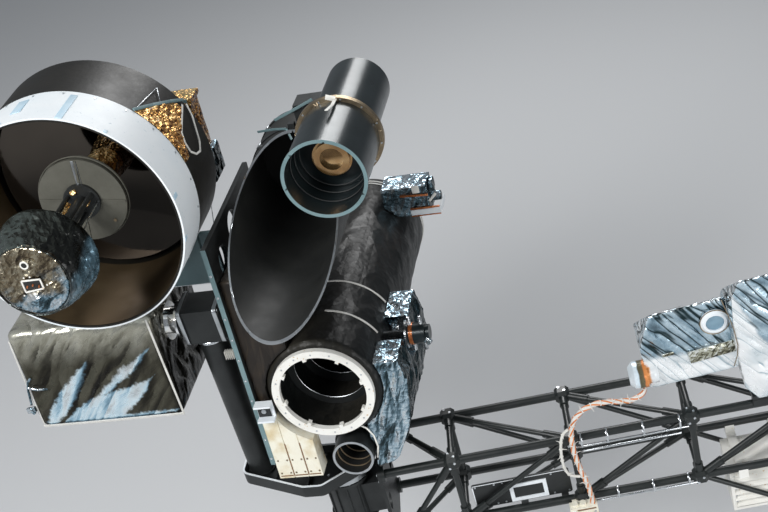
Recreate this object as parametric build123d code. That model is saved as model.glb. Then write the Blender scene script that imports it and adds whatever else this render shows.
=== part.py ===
from build123d import *
from math import atan2, cos, degrees, radians, sin
import os

# Pointed instrument platform on the outer section of its truss boom, in millimetres.
# Origin: middle of the boom's root plate, on its mounting face. The boom runs along -X, Z is up,
# and the instruments look along -Y, towards the front.

# Boom
BOOM_LENGTH = 1250            # mounting face to the far end of the chords
BOOM_WIDTH = 168              # between chord axes, along Y
BOOM_HEIGHT = 204             # between chord axes, along Z
CHORD_R = 11
BATTEN_R = 8
DIAGONAL_R = 7
SLEEVE_T = 3                  # end sleeves on battens and diagonals
BATTEN_SLEEVE = 44            # sleeve length from the chord's axis
DIAGONAL_SLEEVE = 72
NODE_BLOCK = 38               # cube where tubes meet
NODE_CHAMFER = 8
BAY = 300
BAYS = 3
FIRST_NODE = 170              # root face to the first node
FOOT_R = 21                   # chord flanges at both ends
FOOT_T = 8
ROOT_PLATE_T = 12
ROOT_RIM_Y = 34               # plate's edge beyond the chord axes
ROOT_CORNER = 18
ROOT_WINDOW_R = 62
ROOT_BOLT_Y = 200
ROOT_BOLT_Z = 120
ROOT_BOLT_R = 5.5
END_PLATE_T = 10
END_RIM = 20
END_WINDOW_R = 22
END_WINDOW_IN_Y = 10          # windows' centres inside the chord axes
END_WINDOW_IN_Z = 16

# Azimuth axis, vertical, past the end of the boom
AZIMUTH_REACH = 95            # end plate's far face to the axis
AZIMUTH_R = 58
AZIMUTH_FLANGE = 8            # rim width and thickness of the housing's flanges
AZIMUTH_BASE_Z = -71
AZIMUTH_TOP_Z = 65
AZIMUTH_RIBS = 12
AZIMUTH_RIB_T = 4
BRACKET_HALF = 44
MOTOR_R = 36
MOTOR_H = 32
TURNTABLE_R = 68
TURNTABLE_T = 16
TURN_GAP = 5.5
SPINDLE_R = 24
SPINDLE_DEPTH = 40
BORE_GAP = 0.3                # running fit of both shafts

# The platform is placed by the narrow camera's mouth, turned and tipped as it was left
MOUTH_FROM_AXIS = 35          # mouth centre from the azimuth axis, along X
MOUTH_Y = -115
MOUTH_Z = 418
TURNED = -9.0
TIPPED = -4.5

# Yoke
TRAY_H = 34
TRAY_WALL = 5
TRAY_FLOOR = 8
TRAY_CORNER = 26
TRAY_REACH = 257              # azimuth axis to the tray's left end
TRAY_HALF = 42
TRAY_BULGE = 112              # how far the tray's front corner stands forward
ARM_R = 36
ARM_FOOT_R = 33
ARM_RING_R = 41
ARM_RING_T = 7

# Elevation axis in the platform's own frame: x along the axis, y back from the mouths, z up
ELEV_Y = 93
ELEV_Z = 195
SHAFT_R = 18
FLANGE_R = 48
FLANGE_T = 6
NECK_R = 34
SIDE_GAP = 6                  # between the yoke's housing and what turns beside it
HOUSING_W = 102
HOUSING_D = 92
HOUSING_H = 100
HOUSING_LIP = 10              # end frames of the housing
HOUSING_RECESS = 5
SPOOL_W = 38                  # hub between the housing and the electronics

# Bench that carries the cameras
BENCH_X = -184
BENCH_T = 12
BENCH_DEPTH = 420
BENCH_TOP_Z = 430
BENCH_LOW_Z = -60
BENCH_TOE_Y = 90
BENCH_TOE_Z = -200
BENCH_GUSSET = 60
BENCH_HOLES = ((290, 20, 52), (360, 150, 40), (300, 270, 52),      # y, z, radius
               (210, 370, 40), (90, 350, 34), (370, 380, 30))
CAMERA_R = 142                # narrow camera's blanketed tube
CAMERA_LENGTH = 850
CAMERA_TAPER = 60
CAMERA_TAIL_R = 112
CAMERA_RING_R = 125
CAMERA_RING_BORE = 106
CAMERA_RING_T = 14
CAMERA_BORE = 112
CAMERA_BORE_DEPTH = 330
RING_TABS = 8
RING_TAB_TURN = 12
TAB = 14
TAB_H = 9
BAFFLES = ((110, 92), (200, 84), (290, 76))      # y, bore
BAFFLE_T = 4
CAMERA_LENS_T = 18
CAMERA_DOME_R = 400
BAND_W = 6                    # seam bands round the tube
BAND_H = 1.5
BANDS_Y = (141, 273)
TAIL_BANDS = (84, 72)         # before the tail

# Mirror telescope
SCOPE_X = -443
SCOPE_Z = 571
SCOPE_R = 270
SCOPE_WALL = 5
SCOPE_MOUTH_Y = -74
SCOPE_BACK_Y = 250
SCOPE_BACK_T = 10
BAND_DEPTH = 130
BAND_T = 4
MIRROR_GAP = 13               # barrel's inner wall to the mirror's rim
MIRROR_T = 44
MIRROR_SAG = 34
MIRROR_TUBE_R = 43
DISC_Y = 50
DISC_R = 105
DISC_T = 6
DISC_STEP = 9
DISC_HUB_R = 60
CAP_BACK_Y = -175
CAP_FRONT_Y = -290
CAP_BACK_R = 115
CAP_FRONT_R = 88
NECK_POST_R = 6
NECK_POSTS_AT = 33
NECK_CORE_R = 17

# Oval-mouthed hood above the narrow camera
HOOD_Z = 420
HOOD_R = 131
HOOD_WALL = 4
HOOD_LIP_LOW_Y = -200
HOOD_LIP_HIGH_Y = 313
HOOD_BACK_Y = 430
HOOD_BODY_R = 96
HOOD_BODY_LENGTH = 190
STRAP_W = 14
STRAP_T = 2.5

# Wide camera, placed round the hood
WIDE_ANGLE = 47.5             # up from the hood's own level
WIDE_GAP = 18
WIDE_R = 92
WIDE_WALL = 5
WIDE_FRONT_Y = -50
WIDE_STEP_Y = 138
WIDE_BACK_Y = 420
WIDE_BODY_R = 76
WIDE_FLANGE_R = 101
WIDE_LENS_Y = 35
WIDE_LENS_R = 36
WIDE_DOME_R = 90

# Small photometer tube below
PHOTO_X = 28
PHOTO_DROP = 58               # below the narrow camera's tube
PHOTO_R = 51
PHOTO_WALL = 6
PHOTO_BODY_R = 56
PHOTO_STEP_Y = 60
PHOTO_LENGTH = 250
PHOTO_BRACKET_HALF = 28
RADIATOR_T = 70
RADIATOR_BOTTOM = -246
RADIATOR_W = 112
GROOVE = 2
CHANNEL_Z0 = -52
CHANNEL_Z1 = -4
CHANNEL_D = 26
CHANNEL_WALL = 5

# Fittings right of the narrow camera
SKIRT = ((80, 60), (192, 60), (204, 0), (194, -90),      # outline seen from the front: x, z
         (180, -139), (139, -222), (122, -240), (76, -250))
SKIRT_BACK_Y = 330
ACTUATOR_Y = 165
ACTUATOR_Z = 37
ACTUATOR_R = 26
ACTUATOR_X = 196
ACTUATOR_W = 44
POST_REACH = 22
POST_R = 4.5
REAR_BOX_FROM_TAIL = 160
REAR_BOX_D = 78
REAR_BOX_X = 205
REAR_BOX_Z = 176

# Blanketed electronics under the mirror telescope
ELEC_W = 380
ELEC_H = 287
ELEC_DEPTH = 300
ELEC_ROUND = 16
SADDLE_W = 192
SADDLE_CHEEK = 16
SADDLE_DEPTH = 160
SADDLE_Y = 70
GOLD_W = 440
GOLD_H = 150
GOLD_DEPTH = 60
LID_H = 14
LID_RIM = 5

# Boxes on the boom
WINDOW_BOX_X = -1043          # plate with a framed window, just inside the front truss face
WINDOW_BOX_W = 251
WINDOW_BOX_H = 80
WINDOW_BOX_Z = -88
WINDOW_FACE = 72              # boom's axis to the plate's front
WINDOW_BOX_T = 5.5
WINDOW_X = -949
WINDOW_W = 96
WINDOW_H = 58
WINDOW_RIM = 10
LOUVER_X = -395
LOUVER_W = 215
LOUVER_H = 144
LOUVER_DEPTH = 120
LOUVER_DROP = 18              # hangers between chords and box
SLATS = 6
CONNECTOR_X = -808
CONNECTOR_W = 70

# Particle instrument, leaning back on its base
LEAN = 4.0
HEAD_X = -352
HEAD_LEFT = 22
HEAD_W = 230
HEAD_FRONT = 105              # boom's middle plane to the head's front
HEAD_D = 160
HEAD_H = 360
BODY_LEFT = -195
BODY_FRONT = 70
BODY_D = 125
BACK_SLOPE = 43               # fall of the blankets behind their front top edges
BODY_Z0 = 82
BODY_Z1 = 300
BASE_T = 10
APERTURE_R = 34
APERTURE_BORE = 22
KNOB_R = 34

# Harness from the boom's connector box to the particle instrument, and its spare loop
HARNESS_D = 12
HARNESS = [(-748, -120, -93), (-748, -120, -59), (-753, -120, -17), (-762, -120, 29), (-767, -120, 75),
           (-768, -119, 119), (-763, -117, 160), (-747, -113, 194), (-716, -107, 213), (-677, -98, 212),
           (-641, -88, 196), (-611, -77, 180), (-585, -67, 177), (-568, -60, 189), (-568, -60, 209)]
LOOP_D = 7
LOOP = [(-770, -118, 163), (-782, -119, 157), (-791, -120, 139), (-797, -121, 111), (-800, -121, 79),
        (-800, -121, 49), (-795, -121, 24), (-783, -120, 8), (-765, -120, 4)]

AZIMUTH_X = -BOOM_LENGTH - END_PLATE_T - AZIMUTH_REACH
MOUTH_X = AZIMUTH_X + MOUTH_FROM_AXIS
PAST = 500                    # cutters start or end this far out, past every piece
YOKE = Location((MOUTH_X, MOUTH_Y, MOUTH_Z)) * Location((0, 0, 0), (0, 0, TURNED))
PLATFORM = YOKE * Location((0, 0, 0), (TIPPED, 0, 0))


def save(name, shape, at=None):
    if at is not None:
        shape = at * shape
    export_step(shape, f"parts/{name}.step")


def block(x0, x1, y0, y1, z0, z1):
    return Pos((x0 + x1) / 2, (y0 + y1) / 2, (z0 + z1) / 2) * Box(x1 - x0, y1 - y0, z1 - z0)


def rod(p, q, r):
    """Round bar from point p to point q."""
    p, q = Vector(p), Vector(q)
    return Plane(origin=(p + q) * 0.5, z_dir=q - p) * Cylinder(r, (q - p).length)


def sleeved(p, q, r, sleeve):
    """Round bar with a thicker sleeve at each end."""
    p, q = Vector(p), Vector(q)
    reach = (q - p).normalized() * sleeve
    return rod(p, q, r) + rod(p, p + reach, r + SLEEVE_T) + rod(q - reach, q, r + SLEEVE_T)


def along_y(r, y0, y1, x=0, z=0, r2=None):
    """Cylinder or cone whose axis is parallel to Y; r is at y0 and r2 at y1."""
    plane = Plane(origin=(x, (y0 + y1) / 2, z), x_dir=(1, 0, 0), z_dir=(0, 1, 0))
    if r2 is None:
        return plane * Cylinder(r, y1 - y0)
    return plane * Cone(r, r2, y1 - y0)


def along_x(r, x0, x1, y=0, z=0):
    return Plane(origin=((x0 + x1) / 2, y, z), z_dir=(1, 0, 0)) * Cylinder(r, x1 - x0)


def turned_y(profile, x=0, z=0):
    """Solid turned about an axis parallel to Y; the profile lists (radius, y)."""
    face = make_face(Polyline(*[(r, y, 0) for r, y in profile], close=True))
    return Pos(x, 0, z) * revolve(face, Axis.Y)


def turned_x(profile, y=0, z=0):
    """Solid turned about an axis parallel to X; the profile lists (x, radius)."""
    face = make_face(Polyline(*[(x, r, 0) for x, r in profile], close=True))
    return Pos(0, y, z) * revolve(face, Axis.X)


def side_cut(outline, y0, y1):
    """Prism between y0 and y1 from an outline of (x, z)."""
    face = make_face(Polyline(*[(x, y0, z) for x, z in outline], close=True))
    return extrude(face, y1 - y0, dir=(0, 1, 0))


def largest(shape):
    return max(shape.solids(), key=lambda solid: solid.volume)


def group(shapes):
    return Compound(children=[s for shape in shapes for s in shape.solids()])


def cord(points, diameter):
    """Round cord through the points: straight runs and tangent arcs as large as the runs allow."""
    points = [Vector(p) for p in points]
    radii = []
    for a, b, c in zip(points[:-2], points[1:-1], points[2:]):
        half_turn = radians((b - a).get_angle(c - b)) / 2
        radii.append(0.45 * min((b - a).length, (c - b).length) / (sin(half_turn) / cos(half_turn)))
    path = FilletPolyline(*points, radius=radii)
    section = Plane(origin=points[0], z_dir=points[1] - points[0]) * Circle(diameter / 2)
    tube = sweep(section, path=path)
    print(f"cord {diameter} mm: {path.length:.0f} mm long, least radius {min(radii):.0f},",
          f"volume ratio {tube.volume / (path.length * section.area):.4f}")
    return tube


os.makedirs("parts", exist_ok=True)

# Truss boom: four chords with cube fittings, battens round each station, one diagonal per face

half_w, half_h = BOOM_WIDTH / 2, BOOM_HEIGHT / 2
stations = [-FIRST_NODE - BAY * i for i in range(BAYS + 1)]
corners = {"upper_front": (-half_w, half_h), "upper_back": (half_w, half_h),
           "lower_front": (-half_w, -half_h), "lower_back": (half_w, -half_h)}
fitting = Box(NODE_BLOCK, NODE_BLOCK, NODE_BLOCK)
fitting = chamfer(fitting.edges(), NODE_CHAMFER)
chords = {}
for corner, (y, z) in corners.items():
    chord = along_x(CHORD_R, -BOOM_LENGTH, -ROOT_PLATE_T, y, z)
    chord += along_x(FOOT_R, -BOOM_LENGTH, -BOOM_LENGTH + FOOT_T, y, z)
    chord += along_x(FOOT_R, -ROOT_PLATE_T - FOOT_T, -ROOT_PLATE_T, y, z)
    for x in stations:
        chord += Pos(x, y, z) * fitting
    chords[corner] = chord
    save(f"chord_{corner}", chord)
all_chords = chords["upper_front"] + chords["upper_back"] + chords["lower_front"] + chords["lower_back"]

battens = []
for x in stations:
    for z in (-half_h, half_h):
        battens.append(sleeved((x, -half_w, z), (x, half_w, z), BATTEN_R, BATTEN_SLEEVE) - all_chords)
    for y in (-half_w, half_w):
        battens.append(sleeved((x, y, -half_h), (x, y, half_h), BATTEN_R, BATTEN_SLEEVE) - all_chords)
battens = [largest(batten) for batten in battens]
save("boom_battens", group(battens))
taken = all_chords
for batten in battens:
    taken += batten

bay_ends = stations + [-BOOM_LENGTH + FOOT_T + FOOT_R]
bays = [(near, far, side) for near, far in zip(bay_ends[:-1], bay_ends[1:]) for side in (-1, 1)]
side_diagonals, flat_diagonals = [], []
for near, far, side in bays:
    bar = sleeved((near, side * half_w, -side * half_h), (far, side * half_w, side * half_h), DIAGONAL_R,
                  DIAGONAL_SLEEVE)
    side_diagonals.append(largest(bar - taken))
for near, far, side in bays:
    bar = sleeved((near, -side * half_w, side * half_h), (far, side * half_w, side * half_h), DIAGONAL_R,
                  DIAGONAL_SLEEVE)
    flat_diagonals.append(largest(bar - taken - group(side_diagonals)))
save("side_diagonals", group(side_diagonals))
save("flat_diagonals", group(flat_diagonals))
braces = group(side_diagonals + flat_diagonals)

root_h, root_w = half_h + ROOT_RIM_Y, half_w + ROOT_RIM_Y
root_plate = block(-ROOT_PLATE_T, 0, -root_w, root_w, -root_h, root_h)
root_plate -= along_x(ROOT_WINDOW_R, -ROOT_PLATE_T - 1, 1)
root_plate = fillet(root_plate.edges().filter_by(Axis.X).group_by(SortBy.LENGTH)[-1], ROOT_CORNER)
for y in (-ROOT_BOLT_Y / 2, ROOT_BOLT_Y / 2):
    for z in (-ROOT_BOLT_Z / 2, ROOT_BOLT_Z / 2):
        root_plate -= along_x(ROOT_BOLT_R, -ROOT_PLATE_T - 1, 1, y, z)
save("root_plate", root_plate)

# End of the boom: plate with lightening holes, bracket and the azimuth actuator's ribbed housing

end_x = -BOOM_LENGTH - END_PLATE_T
end_w, end_h = half_w + END_RIM, half_h + END_RIM
end_plate = block(end_x, -BOOM_LENGTH, -end_w, end_w, -end_h, end_h)
end_plate = fillet(end_plate.edges().filter_by(Axis.X), END_RIM - 4)
window_y = half_w - END_WINDOW_IN_Y
for y, z in ((-window_y, 0), (window_y, 0), (0, half_h - END_WINDOW_IN_Z)):
    end_plate -= along_x(END_WINDOW_R, end_x - 1, -BOOM_LENGTH + 1, y, z)
save("end_plate", end_plate)

azimuth_h = AZIMUTH_TOP_Z - AZIMUTH_BASE_Z
housing = Pos(AZIMUTH_X, 0, AZIMUTH_BASE_Z + azimuth_h / 2) * Cylinder(AZIMUTH_R, azimuth_h)
flange = Cylinder(AZIMUTH_R + AZIMUTH_FLANGE, AZIMUTH_FLANGE)
for z in (AZIMUTH_BASE_Z, AZIMUTH_TOP_Z - AZIMUTH_FLANGE):
    housing += Pos(AZIMUTH_X, 0, z + AZIMUTH_FLANGE / 2) * flange
housing += Pos(AZIMUTH_X, 0, AZIMUTH_BASE_Z - MOTOR_H / 2) * Cylinder(MOTOR_R, MOTOR_H)
rib = Box(AZIMUTH_FLANGE, AZIMUTH_RIB_T, azimuth_h - AZIMUTH_FLANGE)
rib = Pos(AZIMUTH_R, 0, AZIMUTH_BASE_Z + azimuth_h / 2) * rib
for i in range(AZIMUTH_RIBS):
    turn_deg = 360 * i / AZIMUTH_RIBS
    if 59 < turn_deg < 301:
        housing += Pos(AZIMUTH_X, 0, 0) * Rot(0, 0, turn_deg) * rib
spindle_hole = SPINDLE_DEPTH + 1
housing -= Pos(AZIMUTH_X, 0, AZIMUTH_TOP_Z) * Cylinder(SPINDLE_R + BORE_GAP, 2 * spindle_hole)
save("azimuth_housing", housing)

bracket_z0, bracket_z1 = AZIMUTH_BASE_Z + AZIMUTH_FLANGE + 6, AZIMUTH_TOP_Z - AZIMUTH_FLANGE - 14
bracket = block(AZIMUTH_X, end_x, -BRACKET_HALF, BRACKET_HALF, bracket_z0, bracket_z1)
bracket_hole_r = 0.3 * (bracket_z1 - bracket_z0)
bracket -= along_x(bracket_hole_r, AZIMUTH_X - 1, end_x + 1, 0, (bracket_z0 + bracket_z1) / 2)
bracket -= Pos(AZIMUTH_X, 0, 0) * Cylinder(AZIMUTH_R, PAST)
save("azimuth_bracket", largest(bracket))

# Yoke: turntable, tray-shaped beam, round column with its collar, and the elevation housing

tip = radians(TIPPED)
elev_y = ELEV_Y * cos(tip) - ELEV_Z * sin(tip)
elev_z = ELEV_Y * sin(tip) + ELEV_Z * cos(tip)
turn = radians(TURNED)
pivot_x = -MOUTH_FROM_AXIS * cos(turn) - MOUTH_Y * sin(turn)
pivot_y = MOUTH_FROM_AXIS * sin(turn) - MOUTH_Y * cos(turn)
table_z0 = AZIMUTH_TOP_Z + TURN_GAP - MOUTH_Z
table_z1 = table_z0 + TURNTABLE_T
spindle_length = TURN_GAP + SPINDLE_DEPTH
turntable = Cylinder(TURNTABLE_R, TURNTABLE_T)
turntable = Pos(0, 0, (table_z0 + table_z1) / 2) * chamfer(turntable.edges().group_by(Axis.Z)[-1], 4)
turntable += Pos(0, 0, table_z0 - spindle_length / 2) * Cylinder(SPINDLE_R, spindle_length)
save("turntable", turntable, YOKE * Pos(pivot_x, pivot_y, 0))

tray_outline = [(-TRAY_REACH, TRAY_HALF), (-TRAY_REACH, -TRAY_HALF), (-80, -TRAY_BULGE), (-30, -TRAY_BULGE),
                (58, -TRAY_HALF), (58, TRAY_HALF)]
floor = make_face(Polyline(*tray_outline, close=True))
floor = fillet(floor.vertices(), TRAY_CORNER)
tray = extrude(floor, TRAY_H) - Pos(0, 0, TRAY_FLOOR) * extrude(offset(floor, -TRAY_WALL), TRAY_H)
arm_x = -TRAY_REACH + TRAY_WALL + ARM_R + 2
for x in (arm_x + ARM_R + 12, -75):
    rib = block(x, x + 4, -TRAY_BULGE, TRAY_HALF, TRAY_FLOOR, TRAY_H - 10)
    tray += rib & extrude(floor, TRAY_H)
save("yoke_beam", tray, YOKE * Pos(pivot_x, pivot_y, table_z1))

housing_z0 = elev_z - HOUSING_H / 2
arm_z0 = table_z1 + TRAY_FLOOR
arm_h = housing_z0 - arm_z0
arm = Pos(0, 0, arm_z0 + arm_h / 2) * Cone(ARM_FOOT_R, ARM_R, arm_h)
arm += Pos(0, 0, housing_z0 - ARM_RING_T / 2) * Cylinder(ARM_RING_R, ARM_RING_T)
arm += Pos(0, 0, arm_z0 + TRAY_FLOOR / 2) * Cylinder(ARM_FOOT_R + 3, TRAY_FLOOR)
save("yoke_arm", arm, YOKE * Pos(pivot_x + arm_x, elev_y, 0))

housing_x0 = pivot_x + arm_x - HOUSING_W / 2
housing_x1 = housing_x0 + HOUSING_W
elevation = block(housing_x0, housing_x1, elev_y - HOUSING_D / 2 + HOUSING_RECESS,
                  elev_y + HOUSING_D / 2 - HOUSING_RECESS,
                  housing_z0, elev_z + HOUSING_H / 2 - HOUSING_RECESS)
for x in (housing_x0, housing_x1 - HOUSING_LIP):
    frame = block(x, x + HOUSING_LIP, elev_y - HOUSING_D / 2, elev_y + HOUSING_D / 2,
                  housing_z0, elev_z + HOUSING_H / 2)
    elevation += fillet(frame.edges().filter_by(Axis.X), 9)
elevation -= along_x(SHAFT_R + BORE_GAP, housing_x0 - 1, housing_x1 + 1, elev_y, elev_z)
save("elevation_housing", elevation, YOKE)

# Platform: shaft with a spool-shaped hub each side of the housing, and the bench

spool_x1 = housing_x0 - SIDE_GAP
elec_x1 = spool_x1 - SPOOL_W
hub_x0 = housing_x1 + SIDE_GAP
spool = [(elec_x1, 0), (elec_x1, FLANGE_R), (elec_x1 + FLANGE_T, FLANGE_R),
         (elec_x1 + FLANGE_T, NECK_R), (spool_x1 - FLANGE_T, NECK_R), (spool_x1 - FLANGE_T, FLANGE_R),
         (spool_x1, FLANGE_R), (spool_x1, SHAFT_R)]
hub = [(hub_x0, SHAFT_R), (hub_x0, NECK_R), (BENCH_X - 2 * FLANGE_T, NECK_R),
       (BENCH_X - FLANGE_T, FLANGE_R), (BENCH_X, FLANGE_R), (BENCH_X, 0)]
save("elevation_shaft", turned_x(spool + hub, ELEV_Y, ELEV_Z), PLATFORM)

bench_x1 = BENCH_X + BENCH_T
bench_outline = [(0, BENCH_TOE_Z), (BENCH_TOE_Y, BENCH_TOE_Z),
                 (BENCH_TOE_Y, BENCH_LOW_Z - BENCH_GUSSET), (BENCH_TOE_Y + BENCH_GUSSET, BENCH_LOW_Z),
                 (BENCH_DEPTH, BENCH_LOW_Z), (BENCH_DEPTH, BENCH_TOP_Z), (0, BENCH_TOP_Z)]
bench_face = make_face(Polyline(*[(BENCH_X, y, z) for y, z in bench_outline], close=True))
bench = extrude(bench_face, BENCH_T, dir=(1, 0, 0))
for y, z, r in BENCH_HOLES:
    bench -= along_x(r, BENCH_X - 1, bench_x1 + 1, y, z)
save("bench_plate", bench, PLATFORM)

# Narrow camera: blanketed tube, mouth ring with tabs, knife-edged baffles and front lens

tube = turned_y([(CAMERA_BORE, CAMERA_RING_T), (CAMERA_R - 9, CAMERA_RING_T),
                 (CAMERA_R, CAMERA_RING_T + 10), (CAMERA_R, CAMERA_LENGTH - CAMERA_TAPER),
                 (CAMERA_TAIL_R, CAMERA_LENGTH), (0, CAMERA_LENGTH),
                 (0, CAMERA_BORE_DEPTH), (CAMERA_BORE, CAMERA_BORE_DEPTH)])
save("narrow_camera", tube, PLATFORM)
ring = along_y(CAMERA_RING_R, 0, CAMERA_RING_T) - along_y(CAMERA_RING_BORE, -1, CAMERA_RING_T + 1)
for i in range(RING_TABS):
    a = 360 / RING_TABS * i + RING_TAB_TURN
    tab = Pos(CAMERA_RING_BORE, CAMERA_RING_T / 2, 0) * Box(TAB, CAMERA_RING_T, TAB_H)
    tab = Rot(0, -a, 0) * tab
    ring += tab & along_y(CAMERA_RING_R, 0, CAMERA_RING_T)
save("camera_ring", ring, PLATFORM)
baffles = []
for y, bore in BAFFLES:
    edge = along_y(bore, y - 1, y + BAFFLE_T + 1, r2=bore + BAFFLE_T + 1)
    baffles.append(along_y(CAMERA_BORE, y, y + BAFFLE_T) - edge)
save("camera_baffles", group(baffles), PLATFORM)
lens_y = CAMERA_BORE_DEPTH - CAMERA_LENS_T
lens = along_y(CAMERA_BORE, lens_y, CAMERA_BORE_DEPTH)
lens &= Pos(0, lens_y + CAMERA_DOME_R, 0) * Sphere(CAMERA_DOME_R)
save("camera_lens", lens, PLATFORM)

# Black blanket that closes the space between bench, camera and hood

cover = block(bench_x1, -60, CAMERA_RING_T, 400, -40, HOOD_Z - 90)
cover -= along_y(CAMERA_R, 0, PAST)
cover -= along_y(HOOD_R + STRAP_T, -PAST, PAST, 0, HOOD_Z)
save("side_cover", largest(cover), PLATFORM)

# Hood with a slanted mouth, its two straps, and the closed camera body behind it

hood = along_y(HOOD_R, HOOD_LIP_LOW_Y, HOOD_BACK_Y, 0, HOOD_Z)
hood -= along_y(HOOD_R - HOOD_WALL, HOOD_LIP_LOW_Y - 1, HOOD_BACK_Y - 6, 0, HOOD_Z)
slant = atan2(HOOD_LIP_HIGH_Y - HOOD_LIP_LOW_Y, 2 * HOOD_R)
mid_y = (HOOD_LIP_LOW_Y + HOOD_LIP_HIGH_Y) / 2
cut_plane = Plane(origin=(0, mid_y, HOOD_Z), x_dir=(1, 0, 0), z_dir=(0, -cos(slant), sin(slant)))
hood -= cut_plane * Pos(0, 0, PAST) * Box(2 * PAST, 3 * PAST, 2 * PAST)
save("oval_hood", hood, PLATFORM)
straps = []
for y in (HOOD_LIP_HIGH_Y + 8, HOOD_BACK_Y - STRAP_W - 6):
    strap = along_y(HOOD_R + STRAP_T, y, y + STRAP_W, 0, HOOD_Z)
    strap -= along_y(HOOD_R, y - 1, y + STRAP_W + 1, 0, HOOD_Z)
    straps.append(strap + block(-8, 8, y, y + STRAP_W, HOOD_Z + HOOD_R, HOOD_Z + HOOD_R + 12))
save("hood_straps", group(straps), PLATFORM)
tail_y = HOOD_BACK_Y + HOOD_BODY_LENGTH
hood_flange_r = HOOD_BODY_R + 10
hood_flange_y = HOOD_BACK_Y + 12
hood_body = turned_y([(0, HOOD_BACK_Y), (hood_flange_r, HOOD_BACK_Y), (hood_flange_r, hood_flange_y),
                      (HOOD_BODY_R, hood_flange_y), (HOOD_BODY_R, tail_y - 40),
                      (HOOD_BODY_R - 22, tail_y), (0, tail_y)], 0, HOOD_Z)
save("hood_body", hood_body, PLATFORM)

# Wide camera: open hood with a rolled lip, flange, closed body, lens and clamp

wide_reach = HOOD_R + WIDE_GAP + WIDE_R
wide_x = wide_reach * cos(radians(WIDE_ANGLE))
wide_z = HOOD_Z + wide_reach * sin(radians(WIDE_ANGLE))
inner = WIDE_R - WIDE_WALL
wide_floor = WIDE_LENS_Y + 40
wide = turned_y([(inner, WIDE_FRONT_Y), (WIDE_R + 3, WIDE_FRONT_Y), (WIDE_R + 3, WIDE_FRONT_Y + 7),
                 (WIDE_R, WIDE_FRONT_Y + 7), (WIDE_R, WIDE_STEP_Y), (WIDE_FLANGE_R, WIDE_STEP_Y),
                 (WIDE_FLANGE_R, WIDE_STEP_Y + 12), (WIDE_BODY_R, WIDE_STEP_Y + 12),
                 (WIDE_BODY_R, WIDE_BACK_Y - 20), (WIDE_BODY_R - 16, WIDE_BACK_Y), (0, WIDE_BACK_Y),
                 (0, wide_floor), (inner, wide_floor)], wide_x, wide_z)
save("wide_camera", wide, PLATFORM)
wide_lens = along_y(WIDE_LENS_R + 9, WIDE_LENS_Y + 12, wide_floor, wide_x, wide_z)
wide_lens += along_y(WIDE_LENS_R + 4, WIDE_LENS_Y + 4, wide_floor, wide_x, wide_z)
dome = Pos(wide_x, WIDE_LENS_Y + WIDE_DOME_R, wide_z) * Sphere(WIDE_DOME_R)
wide_lens += along_y(WIDE_LENS_R, WIDE_LENS_Y, wide_floor, wide_x, wide_z) & dome
save("wide_lens", wide_lens, PLATFORM)
clamp = block(10, wide_x - 13, HOOD_LIP_HIGH_Y + 27, HOOD_LIP_HIGH_Y + 87, HOOD_Z + 30, wide_z + 2)
clamp -= along_y(HOOD_R, 0, PAST, 0, HOOD_Z)
clamp -= along_y(WIDE_BODY_R, 0, PAST, wide_x, wide_z)
save("wide_bracket", largest(clamp), PLATFORM)

# Photometer with its bracket, and the ribbed radiator beside it

photo_z = -CAMERA_R - PHOTO_DROP
photo_bore = PHOTO_R - PHOTO_WALL
photo = turned_y([(photo_bore, 0), (PHOTO_R, 0), (PHOTO_R, PHOTO_STEP_Y), (PHOTO_BODY_R, PHOTO_STEP_Y),
                  (PHOTO_BODY_R, PHOTO_LENGTH - 20), (PHOTO_R - 8, PHOTO_LENGTH), (0, PHOTO_LENGTH),
                  (0, 2 * PHOTO_STEP_Y), (photo_bore, 2 * PHOTO_STEP_Y)], PHOTO_X, photo_z)
save("photometer", photo, PLATFORM)
photo_bracket = block(PHOTO_X - PHOTO_BRACKET_HALF, PHOTO_X + PHOTO_BRACKET_HALF,
                      PHOTO_STEP_Y + 6, PHOTO_STEP_Y + 70, photo_z + 20, photo_z + 90)
photo_bracket -= along_y(CAMERA_R, 0, PAST)
photo_bracket -= along_y(PHOTO_BODY_R, 0, PAST, PHOTO_X, photo_z)
save("photometer_bracket", largest(photo_bracket), PLATFORM)
radiator_x1 = bench_x1 + RADIATOR_W
radiator = block(bench_x1, radiator_x1, 0, RADIATOR_T, RADIATOR_BOTTOM, BENCH_LOW_Z)
for i in (1, 2):
    x = bench_x1 + RADIATOR_W * i / 3
    radiator -= block(x, x + GROOVE, -1, GROOVE, RADIATOR_BOTTOM - 1, BENCH_LOW_Z + 1)
for i in range(5):
    x = bench_x1 + 12 + 22 * i
    radiator -= block(x, x + 12, RADIATOR_T - 20, RADIATOR_T + 1, RADIATOR_BOTTOM - 1, BENCH_LOW_Z + 1)
radiator -= along_y(CAMERA_R + 6, -PAST, PAST)
save("radiator", largest(radiator), PLATFORM)
channel = block(bench_x1, -CAMERA_R + 12, -CHANNEL_D, 0, CHANNEL_Z0, CHANNEL_Z1)
channel -= block(bench_x1 - 1, -CAMERA_R + 20, -CHANNEL_D - 1, -CHANNEL_WALL,
                 CHANNEL_Z0 + CHANNEL_WALL, CHANNEL_Z1 - CHANNEL_WALL)
save("channel_bracket", channel, PLATFORM)

# Blanket skirt, side actuator with its four posts, and the fitting near the camera's tail

skirt = side_cut(SKIRT, CAMERA_RING_T + 10, SKIRT_BACK_Y)
skirt -= along_y(CAMERA_R + BORE_GAP, 0, PAST)
skirt -= along_y(PHOTO_BODY_R + 4, 0, PAST, PHOTO_X, photo_z)
skirt -= block(0, PAST, 190, PAST, -PAST, -170)
skirt -= along_x(ACTUATOR_R + POST_REACH + 4, 0, PAST, ACTUATOR_Y, ACTUATOR_Z)
save("blanket_skirt", largest(skirt), PLATFORM)

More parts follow.
